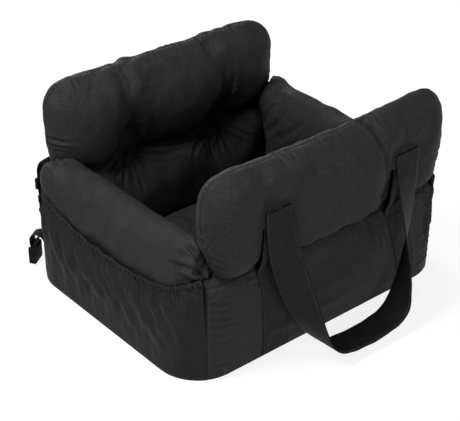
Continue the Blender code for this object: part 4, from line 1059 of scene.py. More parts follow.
def build_padding(node, name, material, body, slot, neighbours, folds, seed, across=None,
                  lines=(), swells=(), creases=()):
    """A padded piece: the CAD cushion remeshed, filled by cloth simulation, and given its
    seams, puckers and folds."""
    padding = bpy.context.scene.car_seat_padding
    thing = padding_base(node, name)
    held = hold_contacts(thing, neighbours, CONTACT_REACH)
    seams = [near_surface(coordinates(thing), line) for line in lines]
    rim = rim_of(thing, across) if across is not None else None
    for path in seams + ([rim] if rim is not None else []):
        held = np.maximum(held, hold_path(thing, path, SEAM_HOLD))
    inflate(thing, held, padding.pressure, padding.spare, padding.reach)
    modify(thing, "SUBSURF", levels=1, render_levels=1)
    points, ways = coordinates(thing), outwards(thing)
    offset = np.zeros(len(points))
    if across is not None:
        rim = rim_of(thing, across)
        puckers(points, ways, rim, seed, *RIM_PUCKERS, offset)
    for index, line in enumerate(seams):
        puckers(points, ways, line, seed + index + 1, *LINE_PUCKERS, offset)
    move_to(thing, points + ways * offset[:, None])
    swell(thing, swells)
    for crease, depth, width in creases:
        groove(thing, crease, depth, width)
    draw_folds(thing, folds)
    for strap in [name for name in neighbours if name.endswith("_handle")]:
        press_behind(thing, strap)
    free = 1 - FREE_SHARE * hold_contacts(thing, neighbours, FREE_REACH)
    crumple(thing, BROAD_CRUMPLE, 2.2 * CRUMPLE_HEIGHT, seed + 3.0, free)
    crumple(thing, FINE_CRUMPLE, CRUMPLE_HEIGHT * 0.45, seed + 5.0, free)
    # each seam is grooved, and the material paints its line dark as painted shade in the groove
    for path in seams + ([rim] if rim is not None else []):
        groove(thing, path, SEAM_DEPTH, SEAM_HALF)
        mark_seam(thing, path)
    finish_piece(thing, material, body, slot, node)
    smooth_shading(thing)
    return thing


class CARSEAT_OT_end_cushions(bpy.types.Operator):
    """Add the tall front and back cushions"""
    bl_idname = "car_seat.end_cushions"
    bl_label = "Front and back cushions"

    def execute(self, context):
        for word, folds, swells, seed in (("front", FRONT_FOLDS, FRONT_SWELLS, 11),
                                          ("back", BACK_FOLDS, BACK_SWELLS, 23)):
            near = ["left_roll", "right_roll", word + "_lining", word + "_handle",
                    word + "_left_band", word + "_right_band", word + "_cover"]
            if word == "back":
                near += ["upper_left_tab", "upper_right_tab"]
            build_padding(word + "_cushion", word + "_cushion_padding", shell_cloth(), "tub",
                          "cloth", near, in_metres(folds, 1.5), seed, across=1,
                          swells=swells)
        return {"FINISHED"}


class CARSEAT_OT_linings(bpy.types.Operator):
    """Add the padded lower linings of the front and back walls"""
    bl_idname = "car_seat.linings"
    bl_label = "Padded linings"

    def execute(self, context):
        turned = [([(x, -y, z) for x, y, z in path], *rest)
                  for path, *rest in BACK_LINING_FOLDS]
        flipped = [((x, -y, z), reach, (move[0], -move[1], move[2]))
                   for (x, y, z), reach, move in LINING_SWELLS]
        for word, folds, swells, seed in (("front", turned, flipped, 31),
                                          ("back", BACK_LINING_FOLDS, LINING_SWELLS, 37)):
            near = ["left_roll", "right_roll", word + "_cushion", word + "_board",
                    "seat_cushion", "base_foam", "left_board", "right_board", word + "_cover"]
            build_padding(word + "_lining", word + "_lining_padding", lining_cloth(), "tub",
                          "lining_cloth", near, in_metres(folds, 1.5), seed,
                          swells=swells)
        return {"FINISHED"}


class CARSEAT_OT_rolls(bpy.types.Operator):
    """Add the two padded side rolls"""
    bl_idname = "car_seat.rolls"
    bl_label = "Side rolls"

    def execute(self, context):
        for side, word, folds, swells, seed in ((LEFT, "left", LEFT_ROLL_FOLDS,
                                                 LEFT_ROLL_SWELLS, 41),
                                                (RIGHT, "right", RIGHT_ROLL_FOLDS,
                                                 RIGHT_ROLL_SWELLS, 53)):
            near = ["front_cushion", "back_cushion", "front_lining", "back_lining",
                    word + "_elastic", word + "_board", word + "_cover", "seat_cushion",
                    "base_foam"]
            pinched = [([(x * -side, y, z) for x, y, z in path], *rest)
                       for path, *rest in ROLL_PINCHES]
            gathers = in_metres(pinched, 1.3) + back_gathers(side, seed + 1)
            build_padding(word + "_roll", word + "_roll_padding", shell_cloth(), "tub", "cloth",
                          near, in_metres(folds, 1.4) + gathers, seed, swells=swells,
                          creases=[(mouth_path(side), 0.0026, 0.0034)])
        return {"FINISHED"}


class CARSEAT_OT_seat_cushion(bpy.types.Operator):
    """Add the loose seat cushion with its sewn oval channel"""
    bl_idname = "car_seat.seat_cushion"
    bl_label = "Seat cushion"

    def execute(self, context):
        low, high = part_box("seat_cushion")
        middle = (low + high) / 2
        oval = [(middle.x + 0.080 * math.cos(math.radians(turn)),
                 0.088 * math.sin(math.radians(turn)), high.z)
                for turn in range(0, 361, 6)]
        build_padding("seat_cushion", "seat_cushion_padding", shell_cloth(), "seat_cushion",
                      "cloth", ["left_roll", "right_roll", "front_lining", "back_lining",
                                "base_foam"],
                      in_metres(SEAT_FOLDS), 61, across=2, lines=[oval],
                      creases=[(oval, 0.0050, 0.0044)])
        return {"FINISHED"}


# ---------------------------------------------------------------- sewn sheets

# The pocket's long folds, in millimetres along the side (towards the back) and up
POCKET_RIDGES = [
    ([(196, 150), (186, 110), (170, 60)], 1.8, 5.0),
    ([(165, 150), (152, 118), (128, 70), (104, 34)], 2.0, 5.5),
    ([(124, 133), (108, 88), (82, 60), (60, 30)], 1.8, 5.0),
    ([(84, 126), (44, 82), (-5, 56), (-31, 32)], 2.4, 6.0),
    ([(46, 122), (14, 96), (-20, 70), (-50, 44)], 1.6, 5.0),
    ([(8, 124), (-54, 84), (-86, 52), (-118, 28)], 2.4, 6.0),
    ([(-34, 130), (-70, 104), (-100, 72), (-128, 44)], 1.8, 5.0),
    ([(-70, 138), (-98, 94), (-138, 62), (-182, 36)], 2.2, 6.0),
    ([(-118, 150), (-140, 112), (-168, 76), (-190, 50)], 2.0, 5.0),
    ([(-160, 162), (-176, 122), (-196, 84), (-200, 54)], 2.4, 5.0),
    ([(-196, 176), (-206, 148), (-214, 116), (-216, 84)], 2.0, 4.6),
    ([(-222, 182), (-228, 152), (-230, 118)], 1.4, 4.0),
]


# The gathers under the mouth, which lean towards the front as they run down, as the long folds
# do: pitch, lean, height, how far down they fade, and what their noise seed adds
POCKET_GATHERS = ((0.0100, 0.4, 0.0042, 0.018, 0), (0.0230, 1.0, 0.0032, 0.038, 2))
RUFFLE_PITCH, FLARE_PITCH = 0.0100, 0.0130
CASING_THICK, CASING_RUFFLE = 0.0028, 0.0020
CASING_TALL, CASING_FLARE = 0.0050, 0.0008
CASING_STEPS = 14
POCKET_CLOTH, COVER_CLOTH = 0.0010, 0.0012     # thicknesses


def gather_wave(way, seed, pitch):
    """Uneven gathers along a mouth, about -1 to 1: full bumps with narrow creases between."""
    spots = np.stack([way.ravel(), 0 * way.ravel(), 0 * way.ravel()], 1)
    drift = wander(spots, 0.030, seed).reshape(way.shape)
    loudness = 0.8 + 0.6 * wander(spots, 0.017, seed + 4).reshape(way.shape)
    bump = np.abs(np.sin(math.pi * way / pitch + 1.8 * drift))
    return (2 * bump ** 0.55 - 1.2) * loudness


def mouth_path(side):
    """A line just over a pocket's mouth, where its roll is drawn in."""
    ways = np.linspace(-0.232, 0.232, 90)
    heights = mouth_line(tree_of(frame["nodes"][SIDE_WORD[side] + "_pocket"]), side, ways)
    path = []
    for way, height in zip(ways, heights):
        spot, out = side_spot(side, way)
        path.append(wall_point(spot, out, 0.004, height + 0.0080))
    return path


def mouth_line(tree, side, ways):
    """The height of a pocket's mouth at each place along its side, from the CAD pocket."""
    heights = []
    for way in ways:
        spot, out = side_spot(side, way)
        height = 0.205
        while height > 0.10 and surface_depth(tree, spot, out, height) is None:
            height -= 0.001
        heights.append(height)
    heights = np.array(heights)
    soften(heights, 4)
    return heights


def sheet_depths(tree, spots, heights):
    """How far in a CAD surface lies over a grid, with misses filled from the row below."""
    depths = np.full(heights.shape, np.nan)
    for column, (spot, out) in enumerate(spots):
        for row in range(heights.shape[0]):
            depth = surface_depth(tree, spot, out, heights[row, column])
            if depth is not None:
                depths[row, column] = depth
    for row in range(1, heights.shape[0]):
        gaps = np.isnan(depths[row])
        depths[row, gaps] = depths[row - 1, gaps]
    columns = np.arange(heights.shape[1])
    for row in range(heights.shape[0]):
        known = ~np.isnan(depths[row])
        if known.any():
            depths[row] = np.interp(columns, columns[known], depths[row, known])
    depths = np.where(np.isnan(depths), np.nanmedian(depths), depths)
    for _ in range(6):
        soften(depths.T, 1)
        soften(depths, 1)
    return depths


def sheet_piece(name, spots, heights, depths, thickness):
    """A sheet at the given depths inside the outline, with its thickness inwards."""
    rows = []
    for row in range(heights.shape[0]):
        line = []
        for column, (spot, out) in enumerate(spots):
            point = spot - out * depths[row, column]
            line.append((point.x, point.y, heights[row, column]))
        rows.append(line)
    thing = grid_mesh(name, rows)
    middle = len(spots) // 2
    face = thing.data.polygons[middle]
    if face.normal.dot(spots[middle][1]) < 0:
        reshape(thing.data, lambda shape: bmesh.ops.reverse_faces(shape, faces=shape.faces))
    modify(thing, "SOLIDIFY", thickness=thickness, offset=-1.0)
    return thing


def corner_depths(end, side, heights):
    """How deep an end wall's cover lies at its corner seam, by height."""
    tree = tree_of(frame["nodes"][END_WORD[end] + "_cover"])
    spot, out = end_spot(end, side * (END_REACH - 0.0008))
    levels = np.linspace(0.008, 0.162, 20)
    depths = [surface_depth(tree, spot, out, level) for level in levels]
    return np.interp(heights, levels, depths)


def build_pocket(side):
    """A gathered cloth pocket over a side, and the ruffled casing of its elastic."""
    word = SIDE_WORD[side]
    tree = tree_of(frame["nodes"][word + "_pocket"])
    columns, lines = ((560, 60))
    ways = np.linspace(-SIDE_REACH, SIDE_REACH, columns)
    spots = [side_spot(side, way) for way in ways]
    mouth = mouth_line(tree, side, ways) - 0.0015
    up = np.linspace(0, 1, lines)[:, None] ** 0.85
    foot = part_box(word + "_pocket")[0].z
    heights = foot + (mouth - foot)[None, :] * up
    depths = sheet_depths(tree, spots, heights)
    # its ends are sewn to the end walls' covers
    for place, sign in ((FRONT, 1), (BACK, -1)):
        share = rounded(1 - (SIDE_REACH - sign * ways) / 0.022)[None, :]
        depths = depths * (1 - share) + corner_depths(place, side, heights) * share
    below = mouth[None, :] - heights
    way_grid = np.repeat(ways[None, :], lines, 0)
    seed = 3.0 if side == LEFT else 8.0
    lift = sum(height * gather_wave(way_grid - lean * below, seed + more, pitch)
               * np.exp(-below / fade) for pitch, lean, height, fade, more in POCKET_GATHERS)
    lift = lift * rounded(below / 0.003)
    flat = np.stack([-way_grid.ravel(), heights.ravel(), 0 * heights.ravel()], 1)
    raised = np.zeros(flat.shape[0])
    for path, height, width in POCKET_RIDGES:
        path = [(along * MM, rise * MM, 0) for along, rise in path]
        fold(flat, path, -2.3 * height * MM, 1.5 * width * MM, 0.25, (0.1, 0.7), raised)
    lift += raised.reshape(heights.shape) * (1 - 0.5 * np.exp(-below / 0.010))
    soft = wander(flat * np.array([1.0, 0.55, 1.0]), 0.030, seed).reshape(heights.shape)
    small = wander(flat, 0.012, seed + 5).reshape(heights.shape)
    ends = rounded((SIDE_REACH - np.abs(way_grid)) / 0.012)
    lift += 0.0010 * soft + 0.0004 * small
    lift *= ends * rounded((heights - foot) / 0.020)
    # the mouth leans in against the roll
    lean = 0.0030 * rounded(1 - below / 0.030) * ends
    depths = depths - lift + lean
    pocket = sheet_piece(word + "_pocket_sheet", spots, heights, depths, POCKET_CLOTH)
    finish_piece(pocket, shaded_pocket_cloth(), "tub", "cloth", word + "_pocket")
    smooth_shading(pocket)

    rings = []
    ruffle = gather_wave(ways, seed, RUFFLE_PITCH)
    flare = gather_wave(ways, seed + 6, FLARE_PITCH)
    top_depths = depths[-1]
    for column, (spot, out) in enumerate(spots):
        centre = spot - out * (top_depths[column] + 0.0002)
        centre = Vector((centre.x, centre.y, mouth[column] + 0.0018 + 0.0009 * flare[column]))
        thick = CASING_THICK + CASING_RUFFLE * ruffle[column]
        tall = CASING_TALL + CASING_FLARE * flare[column]
        ring = []
        for step in range(CASING_STEPS):
            turn = 2 * math.pi * step / CASING_STEPS
            ring.append(centre + out * (thick * math.cos(turn) + 0.0012 * ruffle[column])
                        + Vector((0, 0, tall * math.sin(turn))))
        rings.append(ring)
    casing = tube_mesh(word + "_pocket_casing", rings)
    finish_piece(casing, shaded_pocket_cloth(), "tub", "elastic", word + "_elastic")
    smooth_shading(casing)


class CARSEAT_OT_pockets(bpy.types.Operator):
    """Add the gathered side pockets and their elastic casings"""
    bl_idname = "car_seat.pockets"
    bl_label = "Side pockets"

    def execute(self, context):
        build_pocket(LEFT)
        build_pocket(RIGHT)
        return {"FINISHED"}


# Wrinkles of the front wall's cloth, in millimetres across and up: path, depth, half width
COVER_WRINKLES = [
    ([(-256, 162), (-240, 166), (-226, 168)], 1.2, 3.0),
    ([(-256, 150), (-232, 150), (-204, 144)], 0.9, 3.0),
    ([(-256, 136), (-236, 135), (-218, 133)], 0.8, 3.0),
    ([(-256, 120), (-232, 119), (-204, 113)], 0.9, 3.0),
    ([(-256, 108), (-230, 106), (-196, 98)], 1.0, 3.4),
    ([(-256, 92), (-236, 90), (-214, 88)], 0.7, 3.0),
    ([(-256, 74), (-230, 72), (-200, 68)], 0.9, 3.4),
    ([(-256, 52), (-236, 50), (-212, 48)], 0.7, 3.2),
    ([(-256, 32), (-232, 30), (-206, 26)], 0.8, 3.2),
    ([(-150, 166), (-174, 172), (-204, 174)], 1.0, 3.6),
    ([(-148, 150), (-168, 160), (-188, 164)], 0.7, 3.6),
    ([(96, 176), (96, 156), (88, 118)], 1.4, 6.0), ([(70, 178), (66, 158), (60, 130)], 1.0, 6.0),
    ([(112, 172), (118, 146), (128, 112)], 1.2, 5.0), ([(40, 176), (36, 160)], 0.8, 5.0),
    ([(-80, 172), (-70, 150), (-66, 118)], 1.0, 6.0),
    ([(-84, 150), (-60, 128), (-50, 96)], 0.7, 7.0),
    ([(256, 150), (232, 152), (206, 148)], 0.9, 3.2),
    ([(256, 124), (236, 122), (214, 120)], 0.8, 3.0),
    ([(256, 96), (230, 94), (202, 90)], 0.9, 3.2), ([(256, 66), (234, 64), (210, 62)], 0.8, 3.0),
    ([(256, 36), (232, 34), (204, 30)], 0.8, 3.2),
    ([(-120, 30), (-40, 26), (60, 30), (150, 24)], 0.8, 9.0),
    ([(-40, 64), (20, 58), (80, 62)], 0.6, 12.0),
    ([(232, 172), (238, 140), (233, 112), (242, 74), (238, 40)], -2.0, 2.6),
    ([(250, 168), (246, 138), (252, 104), (247, 70)], -1.8, 2.4),
    ([(240, 116), (250, 104)], -1.2, 2.2), ([(236, 92), (250, 84)], -1.2, 2.2),
    ([(96, 174), (104, 150), (110, 112)], -1.6, 3.0),
    ([(112, 150), (124, 120), (130, 96)], -1.2, 3.0),
]


WAIST_STITCH = 0.006                  # the row of stitches under the waist
TOP_LEAN, TOP_LEAN_FADE = 0.0055, 0.0048


def build_cover(end):
    """The outer cloth of an end wall, a little full between its seams."""
    word = END_WORD[end]
    tree = tree_of(frame["nodes"][word + "_cover"])
    columns, lines = ((340, 96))
    ways = np.linspace(-END_REACH, END_REACH, columns)
    spots = [end_spot(end, way) for way in ways]
    foot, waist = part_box(word + "_cover")[0].z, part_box(word + "_cover")[1].z
    up = np.linspace(0, 1, lines)[:, None]
    heights = np.repeat(foot + (waist - foot) * up, columns, 1)
    depths = sheet_depths(tree, spots, heights)
    way_grid = np.repeat(ways[None, :], lines, 0)
    flat = np.stack([way_grid.ravel(), heights.ravel(), 0 * heights.ravel()], 1)
    lift = np.zeros(flat.shape[0])
    for path, depth, width in COVER_WRINKLES:
        path = [(-end * along * MM, rise * MM, 0) for along, rise in path]
        fold(flat, path, 1.9 * depth * MM, width * MM, 0.6, (0.0, 0.6), lift)
    lift = lift.reshape(heights.shape)
    seed = 13.0 if end == FRONT else 19.0
    lift += 0.0008 * wander(flat, 0.060, seed).reshape(heights.shape)
    lift += 0.0003 * wander(flat, 0.016, seed + 4).reshape(heights.shape)
    sides = rounded((END_REACH - np.abs(way_grid)) / 0.004)
    lift += 0.0016 * sides * rounded((heights - foot) / 0.03) * rounded((waist - heights) / 0.03)
    lift *= np.clip(sides, 0.45, 1) * rounded((heights - foot) / 0.012)
    depths = depths - lift + TOP_LEAN * np.exp(-(waist - heights) / TOP_LEAN_FADE)
    # the sheet turns in over its last rows, under the cushion
    depths = np.vstack([depths, depths[-1:] + 0.003, depths[-1:] + 0.007])
    heights = np.vstack([heights, heights[-1:] + 0.0004, heights[-1:] + 0.0006])
    cover = sheet_piece(word + "_cover_sheet", spots, heights, depths, COVER_CLOTH)
    for column in (1, columns - 2):
        mark_seam(cover, [wall_point(*spots[column], depths[row, column], heights[row, column])
                          for row in range(0, lines, 3)])
    # the material paints the line of this seam dark, as painted shade for the shadow under the
    # cushion, with a row of stitches beside it
    level = waist - WAIST_STITCH
    sewn = []
    for column in range(0, columns, 4):
        depth = float(np.interp(level, heights[:lines, column], depths[:lines, column]))
        sewn.append(wall_point(*spots[column], depth, level))
    mark_seam(cover, sewn)
    finish_piece(cover, shell_cloth(), "tub", "cloth", word + "_cover")
    smooth_shading(cover)


class CARSEAT_OT_covers(bpy.types.Operator):
    """Add the outer cloth of the walls, and the plain cloth behind the pockets"""
    bl_idname = "car_seat.covers"
    bl_label = "Wall covers"

    def execute(self, context):
        build_cover(FRONT)
        build_cover(BACK)
        for word in ("left", "right"):
            cover = cad_copy(word + "_cover", word + "_cover_sheet")
            modify(cover, "BEVEL", width=0.0008, segments=2, limit_method="ANGLE")
            finish_piece(cover, lining_cloth(), "tub", "cloth", word + "_cover")
            smooth_shading(cover, SHEET_ANGLE)
        return {"FINISHED"}


# ---------------------------------------------------------------- straps and belts

HANDLE_THICKNESS, HANDLE_RIPPLE, HANDLE_HEM = 0.0022, 0.0016, 0.0003
BELT_THICKNESS, BELT_RIPPLE = 0.0016, 0.0004
EDGE_ROUNDING = 0.0009                # how far in from a strap's edge it reaches its thickness
HEM_INSET, HEM_HALF = 0.006, 0.003    # the folded hem's ridge
BUCKLE_BEVEL = 0.0006
BUCKLE_ANGLE, SHEET_ANGLE = math.radians(35), math.radians(40)


def strap_line(node):
    """The middle line, width direction and width of a CAD strap, ring by ring from one end."""
    shape = bmesh.new()
    shape.from_mesh(frame["nodes"][node].data)
    merge_corners(shape)
    shape.verts.ensure_lookup_table()
    # an end cap is two triangles whose four corners meet only one other ring
    cap = None
    for face in shape.faces:
        for other in {edge_face for edge in face.edges for edge_face in edge.link_faces} - {face}:
            corners = set(face.verts) | set(other.verts)
            if len(corners) != 4 or abs(face.normal.dot(other.normal)) < 0.999:
                continue
            beyond = {edge.other_vert(vert) for vert in corners for edge in vert.link_edges}
            if len(beyond - corners) == 4:
                cap = corners
                break
        if cap:
            break
    rings, seen, ring = [], set(), cap
    while ring:
        rings.append([vert.co.copy() for vert in ring])
        seen |= ring
        ring = {edge.other_vert(vert) for vert in ring for edge in vert.link_edges} - seen
    line = []
    before = None
    for corners in rings:
        first = corners[0]
        others = sorted(corners[1:], key=lambda spot: (spot - first).length)
        one = (first + others[0]) / 2
        two = (others[1] + others[2]) / 2
        across = one - two
        if before is None:
            # the corners come in no fixed order, so a strap's width always starts out to the
            # right, as seen from outside the wall that it is sewn to
            before = Vector((-math.copysign(1.0, one.y), 0.0, 0.0))
        if across.dot(before) < 0:
            across = -across
        before = across
        line.append(((one + two) / 2, across.normalized(), across.length))
    shape.free()
    return line


def denser(line):
    """A strap's line at even steps, as arrays of places, directions across and widths."""
    places = np.array([tuple(place) for place, _, _ in line])
    across = np.array([tuple(way) for _, way, _ in line])
    widths = np.array([width for _, _, width in line])
    passed = np.concatenate([[0], np.cumsum(np.linalg.norm(np.diff(places, axis=0), axis=1))])
    count = max(4, int(passed[-1] / STRAP_STEP))
    wanted = np.linspace(0, passed[-1], count)
    place = np.stack([np.interp(wanted, passed, places[:, axis]) for axis in range(3)], 1)
    way = np.stack([np.interp(wanted, passed, across[:, axis]) for axis in range(3)], 1)
    soften(place, 6)
    soften(way, 6)
    way /= np.linalg.norm(way, axis=1)[:, None]
    return wanted, place, way, np.interp(wanted, passed, widths)


def strap_mesh(name, line, thickness, ripple, seed, hem=0.0):
    """A flat strap along a line, with rounded edges and soft ripples, and a UV map of metres
    along it and metres from its nearer edge."""
    along, places, across, widths = denser(line)
    run = np.gradient(places, axis=0)
    run /= np.linalg.norm(run, axis=1)[:, None]
    up = np.cross(run, across)
    up /= np.linalg.norm(up, axis=1)[:, None]
    free = rounded(along / 0.030) * rounded((along[-1] - along) / 0.030)
    axis = np.stack([along, 0 * along, 0 * along], 1)
    roll = wander(axis, 0.060, seed) * free
    left_wave = wander(axis, 0.022, seed + 3) * free
    right_wave = wander(axis, 0.025, seed + 6) * free
    top = np.linspace(1, -1, 17)
    bottom = np.linspace(-1, 1, 17)[1:-1]
    rings, edges = [], []
    for index in range(len(along)):
        half = widths[index] / 2
        ring = []
        for share, sign in [(value, 1) for value in top] + [(value, -1) for value in bottom]:
            edge_gap = half * (1 - abs(share))
            thick = thickness / 2 * min(1.0, math.sqrt(max(edge_gap, 0.0) / EDGE_ROUNDING
                                                           + 0.02))
            thick += hem * math.exp(-((edge_gap - HEM_INSET) / HEM_HALF) ** 2)
            lift = ripple * (roll[index] * (1 - share * share) * 0.6
                             + (left_wave[index] if share > 0 else right_wave[index])
                             * abs(share) ** 3)
            spot = places[index] + across[index] * (half * share) + up[index] * (
                sign * thick + lift)
            ring.append(tuple(spot))
            edges.append((along[index], edge_gap))
        rings.append(ring)
    thing = tube_mesh(name, rings)
    edge_map(thing, edges)
    return thing


class CARSEAT_OT_handles(bpy.types.Operator):
    """Add the two cloth carrying handles"""
    bl_idname = "car_seat.handles"
    bl_label = "Carrying handles"

    def execute(self, context):
        for word, seed in (("front", 71.0), ("back", 76.0)):
            handle = strap_mesh(word + "_handle_strap", strap_line(word + "_handle"),
                                HANDLE_THICKNESS, HANDLE_RIPPLE, seed, HANDLE_HEM)
            finish_piece(handle, strap_cloth(), word + "_handle", "cloth", word + "_handle")
            smooth_shading(handle)
        return {"FINISHED"}


class CARSEAT_OT_bands(bpy.types.Operator):
    """Add the four sewn bands under the handles"""
    bl_idname = "car_seat.bands"
    bl_label = "Sewn bands"

    def execute(self, context):
        for end, word in END_WORD.items():
            for hand in SIDE_WORD.values():
                build_band(end, "%s_%s_band" % (word, hand))
        return {"FINISHED"}


# How the front bands slant below the waist, in millimetres: heights, moves along X, and how
# much wider they grow
BAND_SLANTS = {
    "front_left_band": ((0, 49, 84, 138, 172), (14, 13, 12, 9, 0), (10, 10, 6, 0, 0)),
    "front_right_band": ((0, 68, 122, 159, 176), (46, 36, 20, 3, 0), (-8, -6, 0, 0, 0)),
}


def band_edges(node, heights):
    """The left and right edge of a CAD band at each height."""
    mesh = frame["nodes"][node].data
    points = np.array([tuple(vert.co) for vert in mesh.vertices])
    edges = np.array([tuple(edge.vertices) for edge in mesh.edges])
    first, second = points[edges[:, 0]], points[edges[:, 1]]
    lows, highs = [], []
    for height in heights:
        crossing = (first[:, 2] - height) * (second[:, 2] - height) < 0
        share = (height - first[crossing, 2]) / (second[crossing, 2] - first[crossing, 2])
        across = first[crossing, 0] + share * (second[crossing, 0] - first[crossing, 0])
        lows.append(across.min())
        highs.append(across.max())
    return np.array(lows), np.array(highs)


def build_band(end, node):
    """A folded cloth band, sewn flat up an end wall."""
    low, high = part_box(node)
    tree = tree_of(frame["nodes"][node])
    lines, columns = 90, 17
    shares = [column / (columns - 1) for column in range(columns)]
    heights = np.linspace(low.z + 0.0006, high.z - 0.0006, lines)
    lefts, rights = band_edges(node, heights)
    shift = np.zeros(lines)
    wider = np.zeros(lines)
    if node in BAND_SLANTS:
        levels, moves, more = BAND_SLANTS[node]
        shift = np.interp(heights, np.array(levels) * MM, np.array(moves) * MM)
        wider = np.interp(heights, np.array(levels) * MM, np.array(more) * MM)
    cover = tree_of(bpy.data.objects[END_WORD[end] + "_cover_sheet"])
    chance = random.Random(len(node) * 7 + (3 if end == FRONT else 5))
    seed = chance.uniform(0, 40)
    out = Vector((0, end, 0))
    rings, edges = [], []
    for row, height in enumerate(heights):
        ring = []
        face = []
        for share in shares:
            across = lefts[row] + 0.0006 + share * (rights[row] - lefts[row] - 0.0012)
            start = Vector((across, end * (HALF_DEPTH + BAND_START), height))
            _, _, _, distance = tree.ray_cast(start, -out, 2 * BAND_START)
            start.x = across + shift[row] + share * wider[row]
            _, _, _, under = cover.ray_cast(start, -out, 2 * BAND_START)
            if height < WAIST - 0.008 and distance is not None and under is not None:
                distance = min(distance, under - BAND_THICKNESS)
            face.append(distance)
        known = [value for value in face if value is not None]
        middle = sum(known) / len(known)
        depths = [middle if value is None else value for value in face]
        spots = [lefts[row] + share * (rights[row] - lefts[row]) + shift[row]
                 + share * wider[row] for share in shares]
        for share, across, depth in zip(shares, spots, depths):
            gap = min(share, 1 - share) * (rights[row] - lefts[row] + wider[row])
            wave = noise.noise(Vector((across * 30, height * 45, seed))) * 0.0005
            wave += 0.0005 * noise.noise(Vector((across * 90, height * 120, seed + 5)))
            thick = BAND_THICKNESS * min(1.0, math.sqrt(gap / 0.0010 + 0.02))
            ring.append((across, end * (HALF_DEPTH + BAND_START - depth - BAND_THICKNESS + thick
                                        + wave + 0.0004), height))
            edges.append((height, min(gap, height - heights[0] + 0.0034,
                                      heights[-1] - height + 0.0034)))
        for across, depth in zip(reversed(spots), reversed(depths)):
            ring.append((across, end * (HALF_DEPTH + BAND_START - depth - 0.0020), height))
            edges.append((height, 1.0))
        rings.append(ring)
    band = tube_mesh(node + "_strap", rings)
    edge_map(band, edges)
    finish_piece(band, strap_cloth(), "tub", "cloth", node)
    smooth_shading(band)


class CARSEAT_OT_belts(bpy.types.Operator):
    """Add the four webbing belts and their sewn tabs"""
    bl_idname = "car_seat.belts"
    bl_label = "Webbing belts"

    def execute(self, context):
        for level in ("upper", "lower"):
            for hand in SIDE_WORD.values():
                for kind in ("tab", "belt"):
                    node = "%s_%s_%s" % (level, hand, kind)
                    piece = strap_mesh(node + "_webbing", strap_line(node), BELT_THICKNESS,
                                       BELT_RIPPLE, len(node) * 3.1)
                    body = "tub" if kind == "tab" else node
                    finish_piece(piece, belt_webbing(), body, "webbing", node)
                    smooth_shading(piece)
        return {"FINISHED"}


class CARSEAT_OT_buckles(bpy.types.Operator):
    """Add the clips, sockets and the slider"""
    bl_idname = "car_seat.buckles"
    bl_label = "Buckles"

    def execute(self, context):
        for node, body in (("upper_belt_clip", "upper_left_belt"),
                           ("upper_belt_slider", "upper_belt_slider"),
                           ("upper_belt_socket", "upper_right_belt"),
                           ("lower_belt_socket", "lower_left_belt"),
                           ("lower_belt_clip", "lower_right_belt")):
            buckle = cad_copy(node, node + "_moulding")
            modify(buckle, "BEVEL", width=BUCKLE_BEVEL, segments=2, limit_method="ANGLE",
                   angle_limit=BUCKLE_ANGLE)
            finish_piece(buckle, buckle_plastic(), body, "buckle_plastic", node)
            smooth_shading(buckle, BUCKLE_ANGLE)
        return {"FINISHED"}


class CARSEAT_OT_base(bpy.types.Operator):
    """Add the base cloth, and give the boards and foam inside their materials"""
    bl_idname = "car_seat.base"
    bl_label = "Base, boards and foam"

    def execute(self, context):
        base = cad_copy("base_cloth", "base_cloth_sheet")
        modify(base, "BEVEL", width=0.0004, segments=2, limit_method="ANGLE")
        finish_piece(base, lining_cloth(), "tub", "base_cloth", "base_cloth")
        smooth_shading(base, SHEET_ANGLE)
        for node in ("front_board", "back_board", "left_board", "right_board"):
            clothe_node(node, wall_foam())
        clothe_node("base_foam", base_foam_cloth())
        clothe_node("base_board", base_plastic())
        return {"FINISHED"}


def clothe_node(node, material):
    """Gives a CAD node that keeps its shape another material."""
    thing = frame["nodes"][node]
    for slot in thing.material_slots:
        slot.material = material


# ---------------------------------------------------------------- camera, lights, floor

class CARSEAT_OT_stage(bpy.types.Operator):
    """Add the floor, the soft lights and the camera"""
    bl_idname = "car_seat.stage"
    bl_label = "Floor, lights and camera"

    def execute(self, context):
        scene = bpy.context.scene
        scene.view_settings.view_transform = "Standard"
        for other in bpy.context.view_layer.objects:
            other.select_set(False)
        bpy.ops.mesh.primitive_circle_add(vertices=64, radius=9.0, fill_type="NGON",
                                          location=(0, 0, -0.0005))
        floor = bpy.context.object
        floor.name = "studio_floor"
        bpy.ops.object.transform_apply(location=True, rotation=True, scale=True)
        floor.data.materials.append(floor_paper())
        white_world(scene)
        for name, spot, aim, size, power in (
                ("key_softbox", (-0.85, 0.05, 1.35), (0.0, 0.0, 0.2), 0.5, 18.0),
                ("top_softbox", (-0.2, 0.30, 2.4), (0.0, 0.0, 0.2), 1.1, 8.0),
                ("front_softbox", (-0.9, -2.5, 0.85), (0.0, 0.0, 0.25), 0.9, 33.0),
                ("right_softbox", (2.3, -0.9, 0.8), (0.0, 0.0, 0.2), 0.6, 6.0),
                ("back_softbox", (1.0, 2.7, 1.2), (0.0, 0.0, 0.25), 1.3, 40.0)):
            lamp = bpy.data.lights.new(name, "AREA")
            lamp.shape = "SQUARE"
            lamp.size = size
            lamp.energy = power
            thing = place_in_scene(name, lamp)
            thing.location = spot
            thing.rotation_euler = (Vector(spot) - Vector(aim)).to_track_quat(
                "Z", "Y").to_euler()
        aim_camera(scene)
        return {"FINISHED"}


